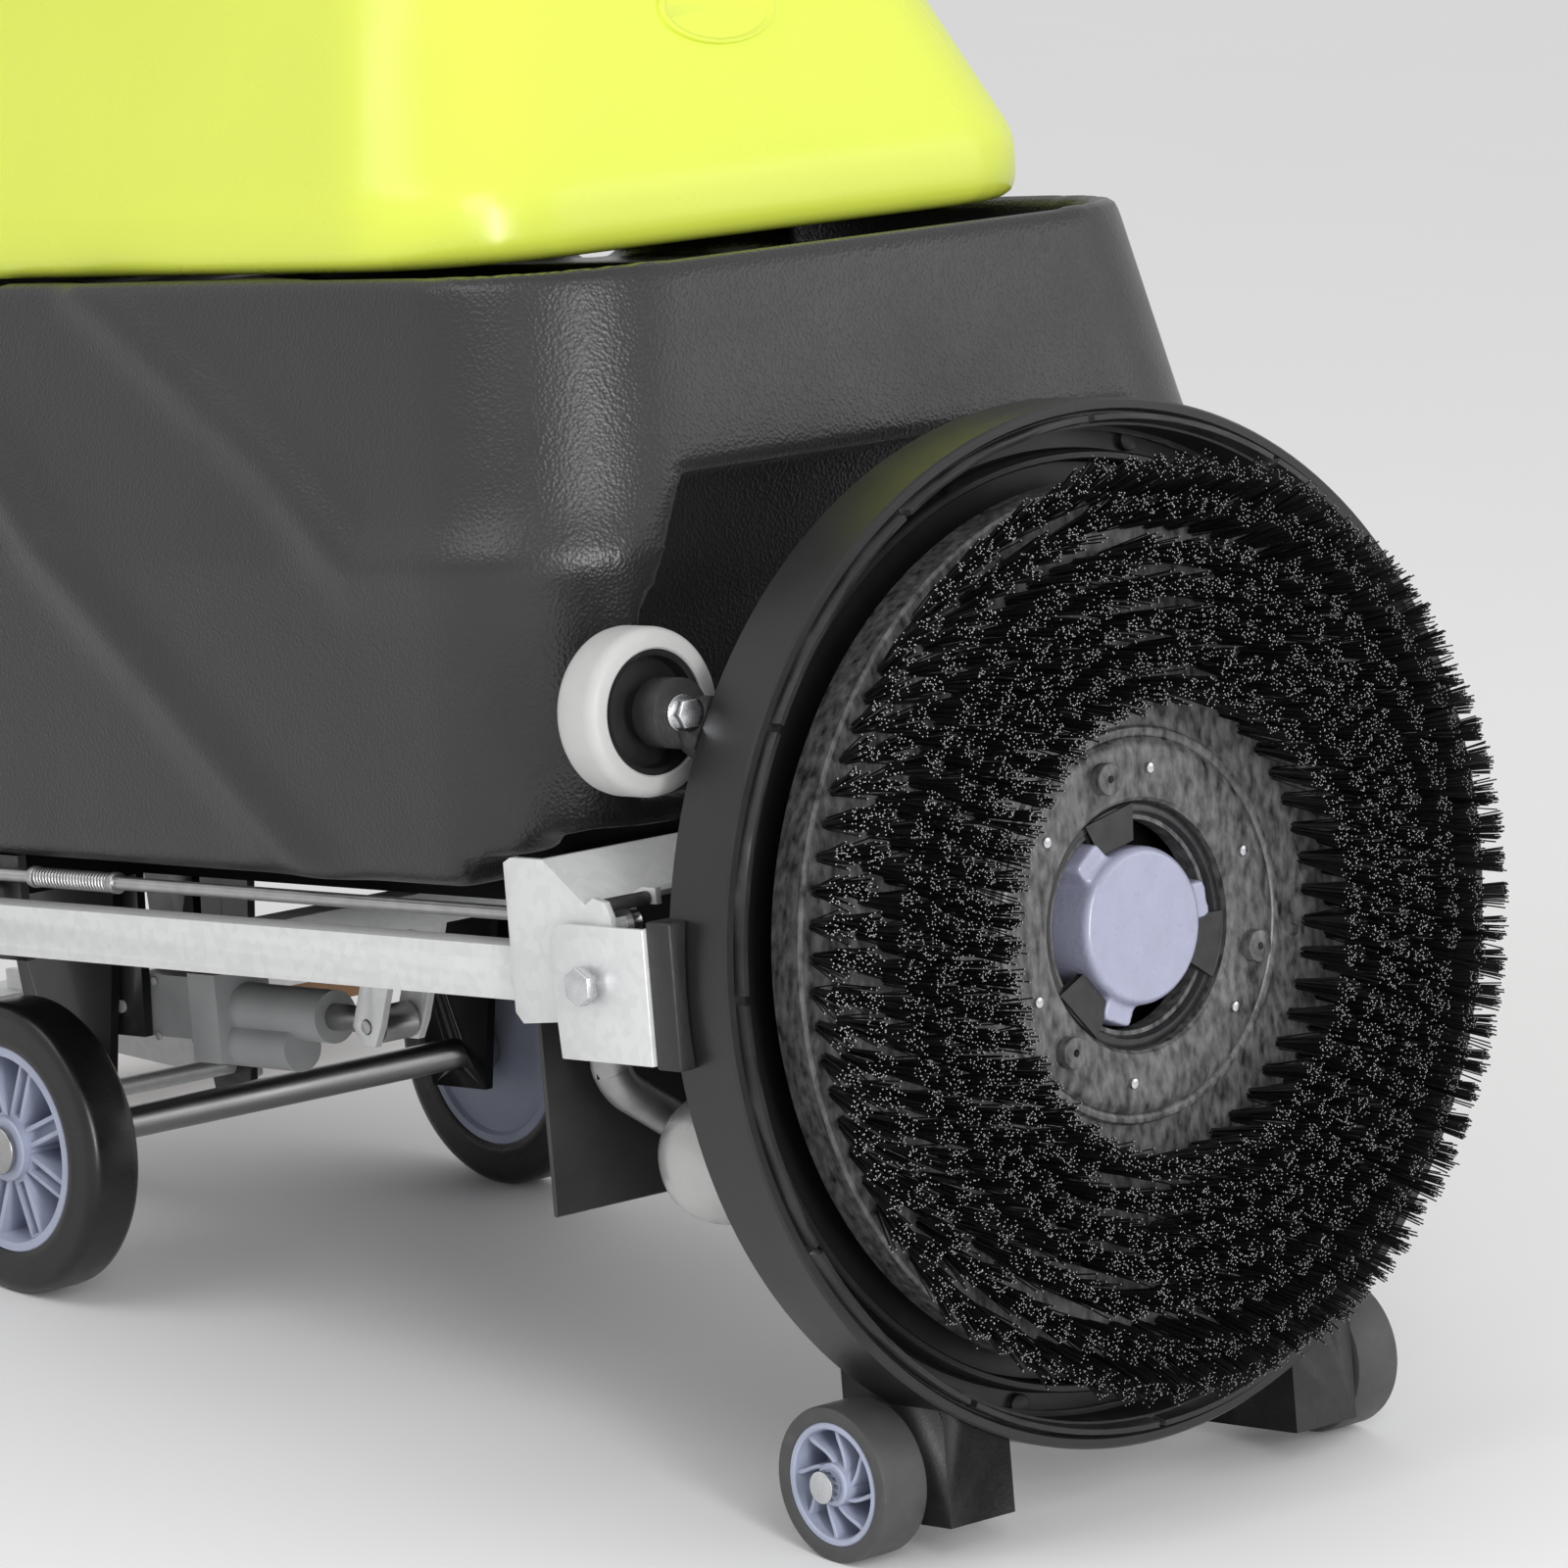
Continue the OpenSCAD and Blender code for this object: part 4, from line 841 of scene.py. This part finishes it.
for turn in range(FIRST_TAB, FIRST_TAB + 360, 120):
    boss = rod(around(BOLT_CIRCLE, turn, 60), around(BOLT_CIRCLE, turn, 70), 9, 32, 1.2)
    bore = rod(around(BOLT_CIRCLE, turn, RAISED), around(BOLT_CIRCLE, turn, 80), 2.2, 20)
    join(bosses, carved(boss, bore))
piece("clutch_flange", on_deck(join(flange, bosses)), "brush", marbled, node="clutch_plate",
      slot="block_grey")
heads = bmesh.new()
for turn in range(20, 380, 60):
    foot = around(BOLT_CIRCLE, turn, RAISED - 0.3)
    join(heads, rod(foot, foot + Vector((0, 0, 2.1)), 3.1, 20, 1.0))
piece("rivet_heads", on_deck(heads), "brush", bright_zinc, node="block_rivets",
      slot="bolt_zinc")

# ---- Clutch tabs and hub ----
# Three black spring tabs, each a fan-shaped frame, snap behind the lugs of a cast hub in
# blue-grey hammered enamel. The hub is cast with soft edges and a flat machined face.
tabs = bmesh.new()
TAB_SWEEP = 36
for turn in range(FIRST_TAB, FIRST_TAB + 360, 120):
    tab = turned([(47, 53.6), (67.5, 53.6), (67.5, 58.5), (47, 58.5)], 10,
                 math.radians(TAB_SWEEP))
    bmesh.ops.holes_fill(tab, edges=[e for e in tab.edges if e.is_boundary])
    bmesh.ops.recalc_face_normals(tab, faces=tab.faces)
    front = [f for f in tab.faces if f.normal.z > 0.9]
    bmesh.ops.inset_region(tab, faces=front, thickness=3.0, use_even_offset=True)
    bmesh.ops.translate(tab, verts=list({v for f in front for v in f.verts}), vec=(0, 0, -3.4))
    tab.transform(Matrix.Rotation(math.radians(turn - TAB_SWEEP / 2), 4, "Z"))
    join(tabs, tab)
join(tabs, turned([(59, 46), (68.5, 46), (68.5, 55), (66, 56.5), (63, 56.5), (59, 50)], 96))
clutch_black = finish("clutch_black", (0.020, 0.020, 0.021), 0.30, tone=0.3, tone_size=9,
                      grain_size=1.0, depth=0.04)
piece("clutch_tabs", on_deck(tabs), "brush", clutch_black, node="clutch_plate",
      slot="black_plastic")
hammered = finish("hammered_enamel", (0.30, 0.31, 0.415), 0.30, coat=0.5, tone=0.05,
                  tone_size=15, grain="pebble", grain_size=3.2, depth=0.16)
hub = turned([(0, 14), (44, 14), (44, 63), (41.5, 66), (0, 66)], 64)
lugs = []
for angle in (8, 128, 248):
    lug = loft([(11.5, 20, 56.5, 3, 30), (10.5, 20, 55.5, 3, 60)], 4)
    lug.transform(Matrix.Rotation(math.radians(angle - 90), 4, "Z"))
    lugs.append(lug)
hub = moulded(carved(hub, *lugs, operation="UNION"), 1.5, 4)
piece("drive_hub_casting", on_deck(hub), "brush", hammered, node="drive_hub",
      slot="blue_grey_cast", smooth=60)

# ---- Bristles ----
# Stiff black nylon bristles, folded and stapled in tufts into the block's drilled holes. The
# outer rows are splayed by use, and every cut tip is worn pale.
BRISTLE = 45
TUFT_PITCH = 18
SPLAY_FROM = 196
random.seed(11)


def tuft_mesh(count):
    """One tuft standing on its hole, made of thin three-sided bristles with a cut tip."""
    bm = bmesh.new()
    for _ in range(count):
        angle = random.uniform(0, 2 * math.pi)
        reach = math.sqrt(random.random())
        foot = Vector((math.cos(angle), math.sin(angle), 0)) * 3.2 * reach
        tip = foot * random.uniform(2.0, 3.1)
        tip += Vector((random.gauss(0, 1.2), random.gauss(0, 1.2), 0))
        tip.z = BRISTLE * random.uniform(0.93, 1.0)
        place = Matrix.Translation(foot) @ Matrix.Rotation(angle, 4, "Z")
        ring = bmesh.ops.create_circle(bm, segments=3, radius=0.52, matrix=place)["verts"]
        edges = list({e for v in ring for e in v.link_edges})
        bend = foot.lerp(tip, 0.42)
        for spot, start in ((bend, foot), (tip, bend)):
            grown = bmesh.ops.extrude_edge_only(bm, edges=edges)["geom"]
            verts = [g for g in grown if isinstance(g, bmesh.types.BMVert)]
            edges = [g for g in grown if isinstance(g, bmesh.types.BMEdge)]
            bmesh.ops.translate(bm, verts=verts, vec=spot - start)
        for face in bmesh.ops.contextual_create(bm, geom=edges)["faces"]:
            face.material_index = 1
    mesh = bpy.data.meshes.new("tuft")
    bm.to_mesh(mesh)
    bm.free()
    return mesh


bristle_black = finish("bristle_nylon", (0.004, 0.004, 0.004), 0.48, tone=0.3, tone_size=6,
                       grain_size=0.8, depth=0.02)
bristle_tip = finish("bristle_tip", (0.34, 0.34, 0.34), 0.6, tone=0.4, tone_size=3,
                     grain_size=0.5, depth=0.02)
tufts = [tuft_mesh(40) for _ in range(7)]
rows = [134, 151.5, 169, 186.5, 204, 221, 236]
sheets = [bmesh.new() for _ in range(3)]
for index, row in enumerate(rows):
    holes = round(2 * math.pi * row / TUFT_PITCH)
    for hole in range(holes):
        turn = 2 * math.pi * (hole + 0.5 * (index % 2)) / holes
        splay = math.radians(max(0, row - SPLAY_FROM) * 0.62 + random.gauss(0, 2.5))
        if index == 0:
            splay = math.radians(-4)
        spot = (DECK @ Matrix.Rotation(turn, 4, "Z") @ Matrix.Translation((row, 0, BLOCK_FRONT))
                @ Matrix.Rotation(splay, 4, "Y") @ Matrix.Rotation(random.uniform(0, 6.28), 4, "Z"))
        copy = random.choice(tufts).copy()
        copy.transform(spot)
        sheets[hole * 3 // holes].from_mesh(copy)
        bpy.data.meshes.remove(copy)
for number, sheet in enumerate(sheets, 1):
    piece(f"bristle_tufts_{number}", sheet, "brush", bristle_black, bristle_tip, node="bristles",
          slot="bristle", smooth=30)

# ---- Recovery tank ----
# The upper tank is moulded in a bright lime polyethylene with a smoother, shinier skin. It
# rests on the lower tank's rim and leans in on every side as it rises.
tank = loft([(236, -534, 176, 88, 531), (241, -537, 181, 91, 537), (244, -536, 184, 92, 569),
             (205, -500, 182, 90, 663), (150, -430, 172, 80, 833), (138, -416, 160, 70, 845)])
mouth = block((-90, -315, 790), (90, -75, 860))
knuckles = []
for y in (-128, 112):
    knuckles += [block((227, y, 548), (274, y + 20, 560), 2),
                 block((260, y, 531), (274, y + 20, 552), 2)]
outlet = rod((190, 172, 590), (190, 204, 590), 18, 32)
tank = carved(tank, mouth)
tank = moulded(carved(tank, outlet, *knuckles, operation="UNION"), 5.0, 8)
lime = finish("lime_moulding", (0.67, 0.76, 0.085), 0.28, tone=0.025, tone_size=220,
              grain_size=2.6, depth=0.045)
piece("recovery_tank_shell", tank, "recovery", lime, node="recovery_tank", slot="tank_lime",
      smooth=60)
pins = bmesh.new()
for y in HINGE_AT:
    join(pins, rod((267, y + 0.5, 538), (267, y + 30, 538), 4, 24, 0.5))
piece("hinge_pins", pins, "recovery", bright_zinc, node="recovery_tank", slot="bolt_zinc")

# ---- Badge ----
# A blank oval plate in the tank's own lime plastic, with a raised rim. It is let into the
# tank's sloping front.
badge = turned([(0, 2.4), (37, 2.4), (38.5, 3.4), (41, 4.2), (43.2, 3.4), (44, 1.5), (44, -5),
                (0, -5)], 96)
badge.transform(Matrix.Translation((0, -500, 659)) @ Matrix.Rotation(math.radians(68), 4, "X")
                @ Matrix.Diagonal((1, 0.52, 1, 1)))
piece("badge_plate", badge, "recovery", lime, node="tank_badge", slot="tank_lime")

# ---- Lid and filler cap ----
# The recovery lid is a black moulding with a sunk panel and a hinge barrel at its rear. The
# filler cap is a plug with a knurled rim and a bar grip.
lid = loft([(103, -328, -62, 20, 846.5), (105, -330, -60, 20, 848), (105, -330, -60, 20, 853),
            (102, -327, -63, 18, 856.5)], 8)
top = [f for f in lid.faces if f.normal.z > 0.9 and f.calc_center_median().z > 856]
bmesh.ops.inset_region(lid, faces=top, thickness=16)
bmesh.ops.inset_region(lid, faces=top, thickness=3, depth=-2.2)
lid = eased(lid, 0.8, 25)
join(lid, block((-88, -312, 842.6), (88, -78, 846.6), 1),
     rod((-60, -62, 852.5), (60, -62, 852.5), 6, 24, 0.8))
piece("recovery_lid_moulding", lid, "lid", black_moulding, node="recovery_lid",
      slot="black_plastic")
bore = Vector((0, -420, 0))
knurls = [rod(bore + around(39.2, turn, 470), bore + around(39.2, turn, 479), 0.8, 6)
          for turn in range(0, 360, 10)]
softened("fill_cap", 1.2, black_moulding, slot="black_plastic", extra=knurls)

# ---- Hoses ----
# The suction hose is a spiral-ribbed plastic tube from the squeegee to the column. The drain
# hose leaves the recovery tank and hangs down behind it, ending in a plug.
def bow(a, b, c, d, steps):
    """Points of a hose's bow between two straight ends."""
    a, b, c, d = Vector(a), Vector(b), Vector(c), Vector(d)
    return [a * (1 - t) ** 3 + b * 3 * (1 - t) ** 2 * t + c * 3 * (1 - t) * t ** 2 + d * t ** 3
            for t in [k / steps for k in range(steps + 1)]]


def ribbed_hose(route, radius, start_cuff, end_cuff):
    """A tube with fine ribs, and a smooth cuff pushed over each end."""
    hose = swept(route, lambda i: radius if i % 3 else radius - 2, 28)
    for end in (route[:start_cuff], route[-end_cuff:]):
        join(hose, swept(end, lambda i: radius + 1.2, 32))
    return hose


hose_plastic = finish("hose_plastic", (0.018, 0.018, 0.021), 0.38, tone=0.15, tone_size=15,
                      grain_size=1.4, depth=0.03)
route = [Vector((0, 372, z)) for z in range(78, 92, 2)]
route += bow((0, 372, 92), (0, 372, 190), (0, 430, 335), (0, 330, 335), 140)
route += [Vector((0, y, 335)) for y in (328, 326, 324, 322, 320, 318, 316, 314.2)]
hose = piece("suction_hose_ribbed", ribbed_hose(route, 18.8, 9, 9), None, hose_plastic,
             node="suction_hose", slot="hose_plastic", smooth=50)
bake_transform(hose)
route = [Vector((190, y, 590)) for y in (204.2, 206, 208, 210, 212)]
route += bow((190, 214, 590), (190, 262, 590), (192, 250, 540), (192, 248, 470), 66)
route += [Vector((192, 248, 468 - 2 * k)) for k in range(160)]
hose = piece("drain_hose_ribbed", ribbed_hose(route, 15.8, 8, 14), None, hose_plastic,
             node="drain_hose", slot="hose_plastic", smooth=50)
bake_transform(hose)

# ---- Squeegee ----
# A zinc-plated bar frame carries two gum-rubber blades behind the wheels, and a red handled
# lever lifts it.
blade_rubber = finish("blade_rubber", (0.26, 0.13, 0.05), 0.5, tone=0.1, tone_size=40,
                      grain_size=1.4, depth=0.03)
softened("squeegee_frame", 1.2, galvanised, slot="cast_grey")
softened("squeegee_blades", 0.4, blade_rubber, slot="blade_rubber", segments=1)
softened("squeegee_lever", 1.0, lever_red, slot="lever_red")
